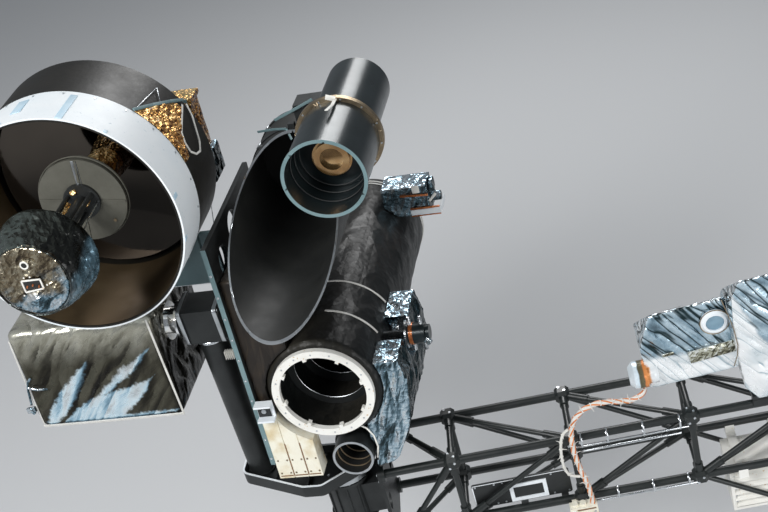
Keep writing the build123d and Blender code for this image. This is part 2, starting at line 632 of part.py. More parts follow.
actuator_x1 = ACTUATOR_X + ACTUATOR_W
actuator = along_x(11, CAMERA_R - 20, ACTUATOR_X, ACTUATOR_Y, ACTUATOR_Z)
actuator += along_x(ACTUATOR_R + 8, ACTUATOR_X - 4, ACTUATOR_X, ACTUATOR_Y, ACTUATOR_Z)
actuator += along_x(ACTUATOR_R, ACTUATOR_X, actuator_x1, ACTUATOR_Y, ACTUATOR_Z)
actuator += along_x(ACTUATOR_R - 7, actuator_x1, actuator_x1 + 10, ACTUATOR_Y, ACTUATOR_Z)
for x in (ACTUATOR_X + 8, actuator_x1 - 8):
    for rise in (-ACTUATOR_R - POST_REACH, ACTUATOR_R + POST_REACH):
        actuator += rod((x, ACTUATOR_Y, ACTUATOR_Z), (x, ACTUATOR_Y, ACTUATOR_Z + rise), POST_R)
save("side_actuator", largest(actuator - along_y(CAMERA_R, 0, PAST)), PLATFORM)

rear_y1 = CAMERA_LENGTH - REAR_BOX_FROM_TAIL + 40
rear_box = block(80, REAR_BOX_X, rear_y1 - REAR_BOX_D, rear_y1, 88, REAR_BOX_Z)
rear_box += along_x(20, REAR_BOX_X, REAR_BOX_X + 12, rear_y1 - 30, REAR_BOX_Z - 22)
rear_box += along_x(13, REAR_BOX_X, REAR_BOX_X + 26, rear_y1 - 30, REAR_BOX_Z - 60)
rear_box -= along_y(CAMERA_R, 0, CAMERA_LENGTH + PAST)
save("rear_box", largest(rear_box), PLATFORM)

# Seam bands round the narrow camera: two in front, a pair near the tail

bands = []
for y in BANDS_Y + tuple(CAMERA_LENGTH - before for before in TAIL_BANDS):
    band = along_y(CAMERA_R + BAND_H, y, y + BAND_W) - along_y(CAMERA_R, y - 1, y + BAND_W + 1)
    if y in BANDS_Y:
        band -= block(-200, -50, y - 2, y + 10, -200, 200)
        band -= block(-60, 240, y - 2, y + 10, -200, 64)
        band = largest(band)
    bands.append(band)
save("camera_bands", group(bands), PLATFORM)

# Mirror telescope

inner = SCOPE_R - SCOPE_WALL
barrel = turned_y([(inner, SCOPE_MOUTH_Y), (SCOPE_R, SCOPE_MOUTH_Y), (SCOPE_R, SCOPE_BACK_Y - 24),
                   (SCOPE_R - 24, SCOPE_BACK_Y), (0, SCOPE_BACK_Y), (0, SCOPE_BACK_Y - SCOPE_BACK_T),
                   (inner - 24, SCOPE_BACK_Y - SCOPE_BACK_T), (inner, SCOPE_BACK_Y - SCOPE_BACK_T - 22)],
                  SCOPE_X, SCOPE_Z)
save("mirror_barrel", barrel, PLATFORM)
band = along_y(SCOPE_R + BAND_T, SCOPE_MOUTH_Y, SCOPE_MOUTH_Y + BAND_DEPTH, SCOPE_X, SCOPE_Z)
band -= along_y(SCOPE_R, SCOPE_MOUTH_Y - 1, SCOPE_MOUTH_Y + BAND_DEPTH + 1, SCOPE_X, SCOPE_Z)
save("white_band", band, PLATFORM)
mirror_r = inner - MIRROR_GAP
mirror_back = SCOPE_BACK_Y - SCOPE_BACK_T
mirror_rim = mirror_back - MIRROR_T
mirror = turned_y([(0, mirror_rim), (mirror_r, mirror_rim), (mirror_r, mirror_back - 30),
                   (mirror_r - 14, mirror_back), (0, mirror_back)], SCOPE_X, SCOPE_Z)
bowl_r = (mirror_r ** 2 + MIRROR_SAG ** 2) / (2 * MIRROR_SAG)
mirror -= Pos(SCOPE_X, mirror_rim + MIRROR_SAG - bowl_r, SCOPE_Z) * Sphere(bowl_r)
save("primary_mirror", mirror, PLATFORM)
disc_back = DISC_Y + DISC_T + 2 * DISC_STEP
gold_tube = along_y(MIRROR_TUBE_R, disc_back, mirror_back, SCOPE_X, SCOPE_Z) - mirror
save("mirror_tube", largest(gold_tube), PLATFORM)
disc = along_y(DISC_R, DISC_Y, DISC_Y + DISC_T, SCOPE_X, SCOPE_Z)
disc += along_y(DISC_HUB_R, DISC_Y + DISC_T, disc_back, SCOPE_X, SCOPE_Z)
for i in (1, 2):
    y = DISC_Y + DISC_STEP * i
    disc += along_y(DISC_R - 2 * i, y, y + 4, SCOPE_X, SCOPE_Z)
for a in (8, 98, 188, 278):
    spoke = Rot(0, a, 0) * Pos(0, 0, DISC_R - 30) * Box(4, 3, 56)
    disc += Pos(SCOPE_X, DISC_Y - 1, SCOPE_Z) * spoke
save("baffle_disc", disc, PLATFORM)
neck_ring = NECK_POSTS_AT + NECK_POST_R + 5
neck = along_y(NECK_CORE_R, CAP_BACK_Y, DISC_Y, SCOPE_X, SCOPE_Z)
neck += along_y(neck_ring, CAP_BACK_Y, CAP_BACK_Y + 8, SCOPE_X, SCOPE_Z)
neck += along_y(neck_ring, DISC_Y - 8, DISC_Y, SCOPE_X, SCOPE_Z)
for a in (60, 180, 300):
    x = SCOPE_X + NECK_POSTS_AT * sin(radians(a))
    z = SCOPE_Z + NECK_POSTS_AT * cos(radians(a))
    neck += along_y(NECK_POST_R, CAP_BACK_Y, DISC_Y, x, z)
save("cap_neck", neck, PLATFORM)
cap = turned_y([(0, CAP_FRONT_Y), (CAP_FRONT_R - 8, CAP_FRONT_Y), (CAP_FRONT_R, CAP_FRONT_Y + 8),
                (CAP_BACK_R, CAP_BACK_Y - 10), (CAP_BACK_R - 8, CAP_BACK_Y), (0, CAP_BACK_Y)],
               SCOPE_X, SCOPE_Z)
save("secondary_cap", cap, PLATFORM)

# What stands round the mirror telescope: electronics, saddle, film-wrapped boxes and link plates

saddle_low = SCOPE_Z - SCOPE_R - 39
elec_z0 = saddle_low - ELEC_H
electronics = block(elec_x1 - ELEC_W, elec_x1, 0, ELEC_DEPTH, elec_z0, saddle_low)
electronics = fillet(electronics.edges(), ELEC_ROUND)
save("electronics_blanket", electronics, PLATFORM)
scope_cut = along_y(SCOPE_R, -PAST, PAST, SCOPE_X, SCOPE_Z)
saddle_x0 = elec_x1 - 6 - SADDLE_W
saddle_y1 = SADDLE_Y + SADDLE_DEPTH
saddle = block(saddle_x0, saddle_x0 + SADDLE_W, SADDLE_Y, saddle_y1, saddle_low, SCOPE_Z - 0.56 * SCOPE_R)
saddle -= block(saddle_x0 - 1, saddle_x0 + SADDLE_W + 1, SADDLE_Y + SADDLE_CHEEK,
                saddle_y1 - SADDLE_CHEEK, saddle_low + 10, SCOPE_Z)
save("scope_saddle", largest(saddle - scope_cut), PLATFORM)

gold_x0 = SCOPE_X - 197
gold_z0 = SCOPE_Z - 26
gold_x1 = gold_x0 + GOLD_W
gold_y1 = SCOPE_BACK_Y + GOLD_DEPTH
gold_z1 = gold_z0 + GOLD_H
gold = block(gold_x0, gold_x1, SCOPE_BACK_Y, gold_y1, gold_z0, gold_z1)
gold = fillet(gold.edges().filter_by(Axis.Y), 6)
gold += block(gold_x0 - LID_RIM, gold_x1 + LID_RIM, SCOPE_BACK_Y, gold_y1 + LID_RIM,
              gold_z1 - LID_H, gold_z1)
save("gold_box", gold, PLATFORM)
small_x1 = gold_x1 + 8
small = block(small_x1 - 76, small_x1, SCOPE_BACK_Y, SCOPE_BACK_Y + 80, gold_z0 - 75, gold_z0)
save("small_box", fillet(small.edges().filter_by(Axis.Y), 5), PLATFORM)
link = block(elec_x1 + 32, BENCH_X, ELEV_Y + 3, ELEV_Y + 17, ELEV_Z + FLANGE_R + 43, SCOPE_Z - 151)
link -= scope_cut
link -= block(housing_x1 - 8, housing_x1 - 2, ELEV_Y, ELEV_Y + 20, ELEV_Z + FLANGE_R + 60, SCOPE_Z)
save("link_plate", largest(link), PLATFORM)

# On the boom: window plate on three tabs, louvred box slung below on two struts, connector box

window_x1 = WINDOW_BOX_X + WINDOW_BOX_W
window_top = WINDOW_BOX_Z + WINDOW_BOX_H
window_y1 = -WINDOW_FACE + WINDOW_BOX_T
window_box = block(WINDOW_BOX_X, window_x1, -WINDOW_FACE, window_y1, WINDOW_BOX_Z, window_top)
window_box = fillet(window_box.edges().filter_by(Axis.Y), 6)
frame_z = WINDOW_BOX_Z + 4
for x in (WINDOW_BOX_X + 12, WINDOW_BOX_X + WINDOW_BOX_W / 2 - 9, window_x1 - 30):
    tab = block(x, x + 18, -half_w, window_y1, -half_h + 2, frame_z)
    window_box += tab - all_chords
save("window_box", largest(window_box - braces))
frame_x1, frame_z1 = WINDOW_X + WINDOW_W, frame_z + WINDOW_H
window_frame = block(WINDOW_X, frame_x1, -WINDOW_FACE - 3, -WINDOW_FACE, frame_z, frame_z1)
window_frame -= block(WINDOW_X + WINDOW_RIM, frame_x1 - WINDOW_RIM, -WINDOW_FACE - 4, -WINDOW_FACE + 1,
                      frame_z + WINDOW_RIM, frame_z1 - WINDOW_RIM)
save("window_frame", window_frame)

louver_x1 = LOUVER_X + LOUVER_W
louver_top = -half_h - CHORD_R - LOUVER_DROP
louver_z0 = louver_top - LOUVER_H
louver_y = LOUVER_DEPTH / 2
louver = block(LOUVER_X, louver_x1, -louver_y, louver_y, louver_z0, louver_top)
louver -= block(LOUVER_X + 8, louver_x1 - 8, -louver_y - 1, -louver_y + 14, louver_z0 + 8, louver_top - 8)
pitch = (LOUVER_H - 16) / SLATS
for i in range(SLATS):
    z = louver_z0 + 8 + pitch * (i + 0.5)
    slat = Box(LOUVER_W - 14, 20, 2.5)
    louver += Pos((LOUVER_X + louver_x1) / 2, -louver_y + 6, z) * Rot(38, 0, 0) * slat
for x in (LOUVER_X + 20, louver_x1 - 84):
    louver += block(x, x + 24, -half_w - CHORD_R, half_w + CHORD_R, louver_top, louver_top + 6)
    for y in (-half_w, half_w):
        louver += block(x, x + 24, y - CHORD_R, y + CHORD_R, louver_top, -half_h)
louver -= all_chords
lug_x = louver_x1 - 60
for side in (-1, 1):
    lug = Box(30, half_w + 8 - louver_y, 28)
    louver += Pos(lug_x, side * (louver_y + half_w + 8) / 2, louver_z0 + 14) * lug
save("louver_box", largest(louver))
struts = []
for side in (-1, 1):
    strut = rod((stations[1], side * half_w, -half_h), (lug_x, side * half_w, louver_z0 + 14), DIAGONAL_R)
    struts.append(largest(strut - taken - largest(louver)))
save("louver_struts", group(struts))

connector_x1 = CONNECTOR_X + CONNECTOR_W
connector_z1 = HARNESS[0][2]
connector = block(CONNECTOR_X, connector_x1, -132, -106, connector_z1 - 52, connector_z1)
connector += block(CONNECTOR_X + 8, connector_x1 - 8, -108, -half_w, connector_z1 - 30, connector_z1 - 4)
connector += block(CONNECTOR_X + 12, connector_x1 - 12, -half_w - 10, -half_w + 14,
                   connector_z1 - 30, -half_h)
for x in (CONNECTOR_X + 14, CONNECTOR_X + 35):
    connector += Pos(x, -119, connector_z1) * Cylinder(8, 14)
save("connector_bracket", largest(connector - taken - braces))

# Particle instrument: blanketed head and body leaning on a wedge base, aperture ring and end knob

base_z = half_h + NODE_BLOCK / 2
head_at = Location((HEAD_X, 0, base_z + BASE_T)) * Location((0, 0, 0), (0, -LEAN, 0))
head_x1 = HEAD_LEFT + HEAD_W
head_outline = [(HEAD_LEFT + 26, 0), (head_x1, 0), (head_x1, HEAD_H - 30), (head_x1 - 30, HEAD_H),
                (HEAD_LEFT + 34, HEAD_H), (HEAD_LEFT, HEAD_H - 60), (HEAD_LEFT, 44)]
head = side_cut(head_outline, -HEAD_FRONT, HEAD_D - HEAD_FRONT)
head = fillet(head.edges().filter_by(Axis.Y), 7)
slope = Vector(0, sin(radians(BACK_SLOPE)), cos(radians(BACK_SLOPE)))
head_fall = Plane(origin=(0, -HEAD_FRONT + 6, HEAD_H), z_dir=slope)
head -= head_fall * Pos(0, 0, HEAD_H) * Box(2 * PAST, 2 * PAST, 2 * HEAD_H)
save("instrument_head", largest(head), head_at)
body_outline = [(BODY_LEFT, BODY_Z0), (HEAD_LEFT, BODY_Z0), (HEAD_LEFT, BODY_Z1), (BODY_LEFT + 34, BODY_Z1),
                (BODY_LEFT - 3, BODY_Z0 + 128)]
body = side_cut(body_outline, -BODY_FRONT, BODY_D - BODY_FRONT)
body = fillet(body.edges().filter_by(Axis.Y), 10)
body_fall = Plane(origin=(0, -BODY_FRONT + 6, BODY_Z1), z_dir=slope)
body -= body_fall * Pos(0, 0, BODY_Z1) * Box(2 * PAST, 2 * PAST, 2 * BODY_Z1)
save("instrument_body", largest(body), head_at)
aperture = turned_y([(APERTURE_BORE, -10), (APERTURE_R - 6, -10), (APERTURE_R, -5), (APERTURE_R, 0),
                     (APERTURE_BORE, 0)], -12, 240)
save("aperture_ring", Pos(0, -BODY_FRONT, 0) * aperture, head_at)
knob_z = HARNESS[-1][2] + KNOB_R
knob_y = HARNESS[-1][1]
knob = turned_x([(-600, 0), (-600, KNOB_R - 12), (-588, KNOB_R), (-556, KNOB_R),
                 (-556, KNOB_R - 7), (-530, KNOB_R - 7), (-530, 0)], knob_y, knob_z)
save("instrument_knob", largest(knob - head_at * body))
base_x1 = HEAD_X + head_x1 - 12
base_x0 = HEAD_X + HEAD_LEFT + 12
wedge = block(base_x0, base_x1, -half_w - CHORD_R, half_w + CHORD_R, base_z, base_z + 2 * BASE_T + 20)
wedge -= head_at * Pos(0, 0, 250) * Box(1200, 600, 500)
for x in (base_x0, base_x1 - 40):
    for side in (-1, 1):
        foot = block(x, x + 40, side * half_w - 12, side * half_w + 12, half_h, base_z)
        wedge += foot - all_chords
for y in (-52, 0, 52):
    wedge -= Pos((base_x0 + base_x1) / 2, y, base_z) * Box(120, 34, 120)
save("instrument_base", largest(wedge))

save("signal_harness", cord(HARNESS, HARNESS_D))
save("harness_loop", cord(LOOP, LOOP_D))
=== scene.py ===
import bmesh
import bpy
from math import cos, pi, radians, sin
from mathutils import Matrix, Vector, kdtree, noise


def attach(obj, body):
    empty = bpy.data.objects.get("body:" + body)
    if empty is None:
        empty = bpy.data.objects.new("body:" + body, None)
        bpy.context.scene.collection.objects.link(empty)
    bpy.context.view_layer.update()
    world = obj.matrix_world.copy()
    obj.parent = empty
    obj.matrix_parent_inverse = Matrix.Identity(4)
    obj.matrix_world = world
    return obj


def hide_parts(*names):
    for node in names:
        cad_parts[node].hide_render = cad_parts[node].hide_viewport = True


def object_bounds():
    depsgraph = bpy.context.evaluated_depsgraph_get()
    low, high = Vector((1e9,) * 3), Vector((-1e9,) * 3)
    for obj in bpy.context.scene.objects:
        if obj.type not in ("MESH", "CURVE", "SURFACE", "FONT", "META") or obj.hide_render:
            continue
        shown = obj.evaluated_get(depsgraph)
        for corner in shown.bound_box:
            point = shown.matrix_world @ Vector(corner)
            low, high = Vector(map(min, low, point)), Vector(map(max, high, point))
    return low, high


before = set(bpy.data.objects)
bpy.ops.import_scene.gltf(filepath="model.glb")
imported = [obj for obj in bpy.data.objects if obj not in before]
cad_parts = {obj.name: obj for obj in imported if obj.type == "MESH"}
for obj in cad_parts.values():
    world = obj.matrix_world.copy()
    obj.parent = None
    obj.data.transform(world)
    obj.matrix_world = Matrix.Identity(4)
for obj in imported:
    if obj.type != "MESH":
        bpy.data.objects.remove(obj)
cad_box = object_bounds()

# Studio. A pale floor well below the hanging part, two large soft lamps, a small one behind, and
# a camera that stands in front and above, looking down by 34 degrees and leaning by 13.

camera_place = Vector((-0.702, -2.862, 2.652))
camera_right = Vector((0.973, -0.022, -0.231))
camera_up = Vector((0.202, 0.572, 0.795))
turn = Matrix((camera_right, camera_up, camera_right.cross(camera_up))).transposed()
lens = bpy.data.cameras.new("camera")
lens.sensor_width = 36.0
lens.lens = 70.3
camera = bpy.data.objects.new("camera", lens)
camera.matrix_world = Matrix.Translation(camera_place) @ turn.to_4x4()
bpy.context.collection.objects.link(camera)
bpy.context.scene.camera = camera
bpy.context.scene.view_settings.view_transform = "Standard"

floor_height = cad_box[0][2] - 0.35
bpy.ops.object.select_all(action="DESELECT")
bpy.ops.mesh.primitive_plane_add(size=24.0, location=(-1.0, 3.0, floor_height))
floor = bpy.context.active_object
floor.name = "studio_floor"
floor.data.materials.append(bpy.data.materials.new("studio floor"))
floor.data.materials[0].use_nodes = True
floor_shader = floor.data.materials[0].node_tree.nodes["Principled BSDF"]
floor_shader.inputs["Base Color"].default_value = (0.62, 0.63, 0.64, 1)
floor_shader.inputs["Roughness"].default_value = 0.85

for name, place, aim, size, power in (
        ("key", (-3.4, -2.6, 3.6), (-1.2, 0, 0.4), 1.6, 172),
        ("fill", (1.6, -3.4, 1.2), (-1.0, 0, 0.3), 2.0, 80),
        ("back", (-0.4, 3.2, 3.0), (-1.2, 0, 0.5), 1.6, 80)):
    lamp = bpy.data.lights.new(name, "AREA")
    lamp.size = size
    lamp.energy = power
    stand = bpy.data.objects.new(name, lamp)
    lamp_turn = (Vector(aim) - Vector(place)).to_track_quat("-Z", "Y")
    stand.matrix_world = Matrix.Translation(place) @ lamp_turn.to_matrix().to_4x4()
    bpy.context.collection.objects.link(stand)
world = bpy.data.worlds.new("studio")
world.use_nodes = True
world.node_tree.nodes["Background"].inputs["Color"].default_value = (0.75, 0.8, 0.86, 1)
world.node_tree.nodes["Background"].inputs["Strength"].default_value = 0.25
bpy.context.scene.world = world


# Harness. A bundle of orange and brown wires laced with white tape every few centimetres. It
# leaves the boom's connector box, passes both chords and ends in the particle instrument's knob.


class Value:
    """One output of a finish's node; arithmetic on it adds the Math nodes."""

    def __init__(self, finish, output):
        self.finish = finish
        self.output = output

    def __add__(self, other):
        return self.finish.maths("ADD", self, other)

    def __radd__(self, other):
        return self.finish.maths("ADD", other, self)

    def __sub__(self, other):
        return self.finish.maths("SUBTRACT", self, other)

    def __rsub__(self, other):
        return self.finish.maths("SUBTRACT", other, self)

    def __mul__(self, other):
        return self.finish.maths("MULTIPLY", self, other)

    def __rmul__(self, other):
        return self.finish.maths("MULTIPLY", other, self)


class Finish:
    """A finish being mixed: fixed values go on its shader, varying ones come by feed."""

    def __init__(self, name, fixed, slot="bare_metal"):
        self.slot = slot
        self.material = bpy.data.materials.new(name)
        self.material.use_nodes = True
        self.tree = self.material.node_tree
        self.shader = self.tree.nodes["Principled BSDF"]
        for socket, value in fixed.items():
            self.shader.inputs[socket].default_value = value
        self.place = self.node("ShaderNodeTexCoord", {}, {})[3]

    def node(self, kind, settings, sockets):
        """Adds a node: its settings first, then the values or links of its sockets."""
        node = self.tree.nodes.new(kind)
        for setting, value in settings.items():
            if setting == "stops":
                ramp = node.color_ramp.elements
                while len(ramp) < len(value):
                    ramp.new(0.5)
                for stop, (position, colour) in zip(ramp, value):
                    stop.position = position
                    stop.color = (*colour, 1)
            else:
                setattr(node, setting, value)
        for socket, value in sockets.items():
            if isinstance(value, Value):
                self.tree.links.new(value.output, node.inputs[socket])
            else:
                node.inputs[socket].default_value = value
        return [Value(self, output) for output in node.outputs]

    def maths(self, operation, first, second=0.0):
        return self.node("ShaderNodeMath", {"operation": operation}, {0: first, 1: second})[0]

    def feed(self, socket, value):
        """Links a value to a socket of the shader."""
        self.tree.links.new(value.output, self.shader.inputs[socket])

    def tint(self, mask, *stops):
        """Colour that runs through the stops, evenly spaced, as the mask goes from 0 to 1."""
        stops = [(i / (len(stops) - 1), colour) for i, colour in enumerate(stops)]
        return self.node("ShaderNodeValToRGB", {"stops": stops}, {0: mask})[0]

    def mix(self, mask, first, second):
        return self.node("ShaderNodeMix", {"data_type": "RGBA"}, {0: mask, 6: first, 7: second})[2]

    def grain(self, size, detail=2.0, rough=0.5):
        """Cloudy noise with patches of about the given size in metres."""
        return self.node("ShaderNodeTexNoise", {},
            {"Vector": self.place, "Scale": 1 / size, "Detail": detail, "Roughness": rough})[0]

    def turned(self, spin, scale):
        """Place on the object, turned and scaled for a texture."""
        return self.node("ShaderNodeMapping", {"vector_type": "TEXTURE"},
            {"Vector": self.place, "Rotation": spin, "Scale": scale})[0]

    def facets(self, size, spin=(0.5, 0.3, 0.9), stretch=(1, 1, 1)):
        """Flat facets that meet in straight creases, as in film: their relief and a tone for each."""
        spot = self.turned(spin, [s * size for s in stretch])
        cells = self.node("ShaderNodeTexVoronoi", {"distance": "MANHATTAN"}, {"Vector": spot, "Scale": 1.0})
        return cells[:2]

    def step(self, value, low, high):
        """0 below low, 1 above high, smooth between."""
        return self.node("ShaderNodeMapRange", {"interpolation_type": "SMOOTHSTEP"},
            {0: value, 1: low, 2: high})[0]

    def folds(self, size, spin, stretch=5.0):
        """Sharp folds about size apart that run along the turned Z axis."""
        spot = self.turned(spin, (size, size, size * stretch))
        cloud = self.node("ShaderNodeTexNoise", {},
            {"Vector": spot, "Scale": 1.0, "Detail": 1.0, "Roughness": 0.4})[0]
        return self.maths("ABSOLUTE", 4.0 * cloud - 2.0)

    def relief(self, height, depth, strength=1.0):
        """Surface normal over a height of the given depth in metres."""
        return self.node("ShaderNodeBump", {}, {"Strength": strength, "Distance": depth, "Height": height})[
            0]

    def bump(self, height, depth, strength=1.0):
        self.feed("Normal", self.relief(height, depth, strength))

    def colour(self, size, detail, *stops):
        """Base colour in cloudy patches that run through the stops."""
        self.feed("Base Color", self.tint(self.grain(size, detail), *stops))

    def rough(self, least, spread, size, detail=2.0):
        """Roughness that rises from least by up to spread, in cloudy patches."""
        self.feed("Roughness", least + spread * self.grain(size, detail))

    def pits(self, depth, strength, size, detail=2.0):
        """Cloudy relief of the given depth in metres."""
        self.bump(self.grain(size, detail), depth, strength)

    def split(self):
        """Place on the object along X, Y and Z."""
        return self.node("ShaderNodeSeparateXYZ", {}, {0: self.place})

    def film(self, height, depth, low, high, patches, *stops):
        """Crumpled film: relief, and painted light and shade, a tint through the stops as facets face the
        light.
        """
        normal = self.relief(height, depth)
        self.feed("Normal", normal)
        leans = []
        # Painted light and shade: facets that face one of these two light directions take the light end of
        # the stops.
        for way in ((-0.55, -0.45, 0.70), (0.10, 0.85, 0.50)):
            leans.append(self.node("ShaderNodeVectorMath", {"operation": "DOT_PRODUCT"},
                {0: normal, 1: Vector(way).normalized()})[1])
        lean = self.maths("MAXIMUM", *leans)
        return self.tint(self.step(lean + 0.3 * patches - 0.15, low, high), *stops)


rests = {"boom": Matrix.Identity(4)}      # where each body's own axes stand at rest


def settle(piece, place=Matrix.Identity(4)):
    """Puts a piece's place into its mesh."""
    piece.data.transform(place @ piece.matrix_world)
    piece.matrix_world = Matrix.Identity(4)
    return piece


def seat(piece, name, finish, body="platform", slot=None, place=None):
    """Settles a shaped piece in its body's frame and gives it its name, finish and body; slot is not used.
    """
    piece.name = name
    piece.data.name = name
    settle(piece, rests[body] if place is None else place)
    piece.data.materials.clear()
    piece.data.materials.append(finish.material)
    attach(piece, body)
    return piece


def pick(*pieces):
    """Selects pieces and nothing else; the first is the active one."""
    bpy.ops.object.select_all(action="DESELECT")
    for piece in pieces:
        piece.select_set(True)
    bpy.context.view_layer.objects.active = pieces[0]


def start(kind, **settings):
    """Adds a primitive with nothing else selected."""
    bpy.ops.object.select_all(action="DESELECT")
    getattr(bpy.ops.mesh, f"primitive_{kind}_add")(**settings)
    return bpy.context.active_object


def smooth(piece, angle=35):
    """Shades smooth wherever faces meet at less than the angle in degrees."""
    pick(piece)
    bpy.ops.object.shade_smooth_by_angle(angle=radians(angle))
    return piece


def join(pieces):
    """Makes one piece of several."""
    pick(*pieces)
    bpy.ops.object.join()
    return pieces[0]


def copies(master, places):
    """Copies of a master at each place, joined into one piece; the master goes."""
    made = []
    for place in places:
        piece = bpy.data.objects.new(master.name, master.data.copy())
        piece.data.transform(place @ master.matrix_world)
        bpy.context.collection.objects.link(piece)
        made.append(piece)
    bpy.data.objects.remove(master)
    return join(made)


def facing(point, direction, spin=0.0):
    """Place at a point with Z along a direction."""
    turned = Vector(direction).to_track_quat("Z", "Y").to_matrix().to_4x4()
    return Matrix.Translation(point) @ turned @ Matrix.Rotation(spin, 4, "Z")


tape_white = Finish("white lacing tape", {"Roughness": 0.6, "Sheen Weight": 0.2}, "harness_wrap")
weave = tape_white.node("ShaderNodeTexWave", {"wave_type": "BANDS", "bands_direction": "DIAGONAL"},
    {"Vector": tape_white.place, "Scale": 260.0, "Distortion": 0.6})[1]
tape_white.colour(0.03, 2, (0.62, 0.60, 0.54), (0.86, 0.86, 0.83))
tape_white.bump(weave, 0.0003, 0.5)
wire_brown = Finish("brown wire jacket", {"Roughness": 0.4}, "harness_wrap")
wire_brown.colour(0.05, 2, (0.22, 0.05, 0.015), (0.72, 0.20, 0.04), (0.78, 0.36, 0.10))
wire_brown.pits(0.0004, 1, 0.004)

harness_route = [(-748, -120, -93), (-748, -120, -59), (-753, -120, -17), (-762, -120, 29), (-767, -120, 75),
    (-768, -119, 119), (-763, -117, 160), (-747, -113, 194), (-716, -107, 213), (-677, -98, 212),
    (-641, -88, 196), (-611, -77, 180), (-585, -67, 177), (-568, -60, 189), (-568, -60, 209)]
loop_route = [(-770, -118, 163), (-782, -119, 157), (-791, -120, 139), (-797, -121, 111), (-800, -121, 79),
    (-800, -121, 49), (-795, -121, 24), (-783, -120, 8), (-765, -120, 4)]


def round_curve(name, diameter, fineness):
    """Curve data of a round section, closed at its ends."""
    curve = bpy.data.curves.new(name, "CURVE")
    curve.dimensions = "3D"
    curve.bevel_depth = diameter / 2
    curve.bevel_resolution = fineness
    curve.use_fill_caps = True
    return curve


def cord(name, route, diameter, finish):
    """Smooth round cord whose control points are the route's, in millimetres."""
    curve = round_curve(name, diameter, 5)
    curve.resolution_u = 12
    spline = curve.splines.new("NURBS")
    spline.points.add(len(route) - 1)
    for point, place in zip(spline.points, route):
        point.co = (*(Vector(place) / 1000), 1)
    spline.order_u = 3
    spline.use_endpoint_u = True
    curve.materials.append(finish.material)
    piece = bpy.data.objects.new(name, curve)
    bpy.context.collection.objects.link(piece)
    return piece


def centreline(piece):
    """Points along a cord, about 2 mm apart, with the direction at each."""
    bare = piece.copy()
    bare.data = piece.data.copy()
    bare.data.bevel_depth = 0
    bpy.context.collection.objects.link(bare)
    mesh = bpy.data.meshes.new_from_object(bare)
    found = [vertex.co.copy() for vertex in mesh.vertices]
    bpy.data.objects.remove(bare)
    points = [found[0]]
    for point in found[1:]:
        if (point - points[-1]).length > 0.002:
            points.append(point)
    ends = points[:1] + points + points[-1:]
    return [(point, (after - before).normalized()) for before, point, after in zip(ends, points, ends[2:])]


def wound(name, line, wires, reach, pitch, thickness, finish):
    """Thin wires wound round a cord's line."""
    curve = round_curve(name, thickness, 2)
    for wire in range(wires):
        spline = curve.splines.new("POLY")
        spline.points.add(len(line) - 1)
        gone = 0
        last = line[0][0]
        for point, (middle, along) in zip(spline.points, line):
            gone += (middle - last).length
            last = middle
            side = along.cross(Vector((0, 1, 0))).normalized()
            angle = 2 * pi * (gone / pitch + wire / wires)
            out = side * cos(angle) + along.cross(side) * sin(angle)
            point.co = (*(middle + out * reach), 1)
    piece = bpy.data.objects.new(name, curve)
    bpy.context.collection.objects.link(piece)
    pick(piece)
    bpy.ops.object.convert(target="MESH")
    return seat(bpy.context.active_object, name, finish, "boom")


def ties(name, line, gap, radius):
    """Knotted lacing tape every gap metres along a cord, each knot with a short tail."""
    band = start("torus", major_radius=radius, minor_radius=0.0009, major_segments=18, minor_segments=6)
    band.data.transform(Matrix.Diagonal((1, 1, 1.8, 1)))
    tail = start("cone", vertices=6, radius1=0.0011, radius2=0.0004, depth=0.011,
        location=(radius + 0.005, 0, 0.001), rotation=(0, radians(80), 0))
    knot = start("uv_sphere", segments=10, ring_count=6, radius=0.0019, location=(radius + 0.0005, 0, 0))
    master = join([settle(band), settle(tail), settle(knot)])
    places = []
    gone = 0
    last = line[0][0]
    for point, along in line[3:-3]:
        gone += (point - last).length
        last = point
        if gone > gap * (0.75 + 0.5 * noise.noise(point * 40)):
            gone = 0
            places.append(facing(point, along, 2.4 * len(places)))
    return smooth(seat(copies(master, places), name, tape_white, "boom"))


harness = cord("harness", harness_route, 0.012, tape_white)
harness_line = centreline(harness)
harness_wires = wound("harness_wires", harness_line, 3, 0.0052, 0.11, 0.0040, wire_brown)
harness_ties = ties("harness_ties", harness_line, 0.030, 0.0068)
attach(harness, "boom")
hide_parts("signal_harness")
spare_loop = cord("spare_loop", loop_route, 0.007, tape_white)
loop_ties = ties("loop_ties", centreline(spare_loop), 0.026, 0.0041)
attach(spare_loop, "boom")
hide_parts("harness_loop")


# Boom tubes. Black painted tubes with swaged sleeves meet in cube fittings, and each fitting is
# closed by small bright socket screws.


def dress(finish, *nodes):
    """Gives CAD nodes their finish."""
    for name in nodes:
        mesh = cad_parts[name].data
        mesh.materials.clear()
        mesh.materials.append(finish.material)


def work(piece, test, operator, **settings):
    """Picks the faces that pass a test of their middle and normal, and runs a mesh operator on them."""
    bpy.context.view_layer.objects.active = piece
    bpy.ops.object.mode_set(mode="EDIT")
    bpy.ops.mesh.select_mode(type="FACE")
    bpy.ops.mesh.select_all(action="DESELECT")
    mesh = bmesh.from_edit_mesh(piece.data)
    for face in mesh.faces:
        face.select_set(test(face.calc_center_median(), face.normal))
    bmesh.update_edit_mesh(piece.data)
    getattr(bpy.ops.mesh, operator)(**settings)
    bpy.ops.object.mode_set(mode="OBJECT")


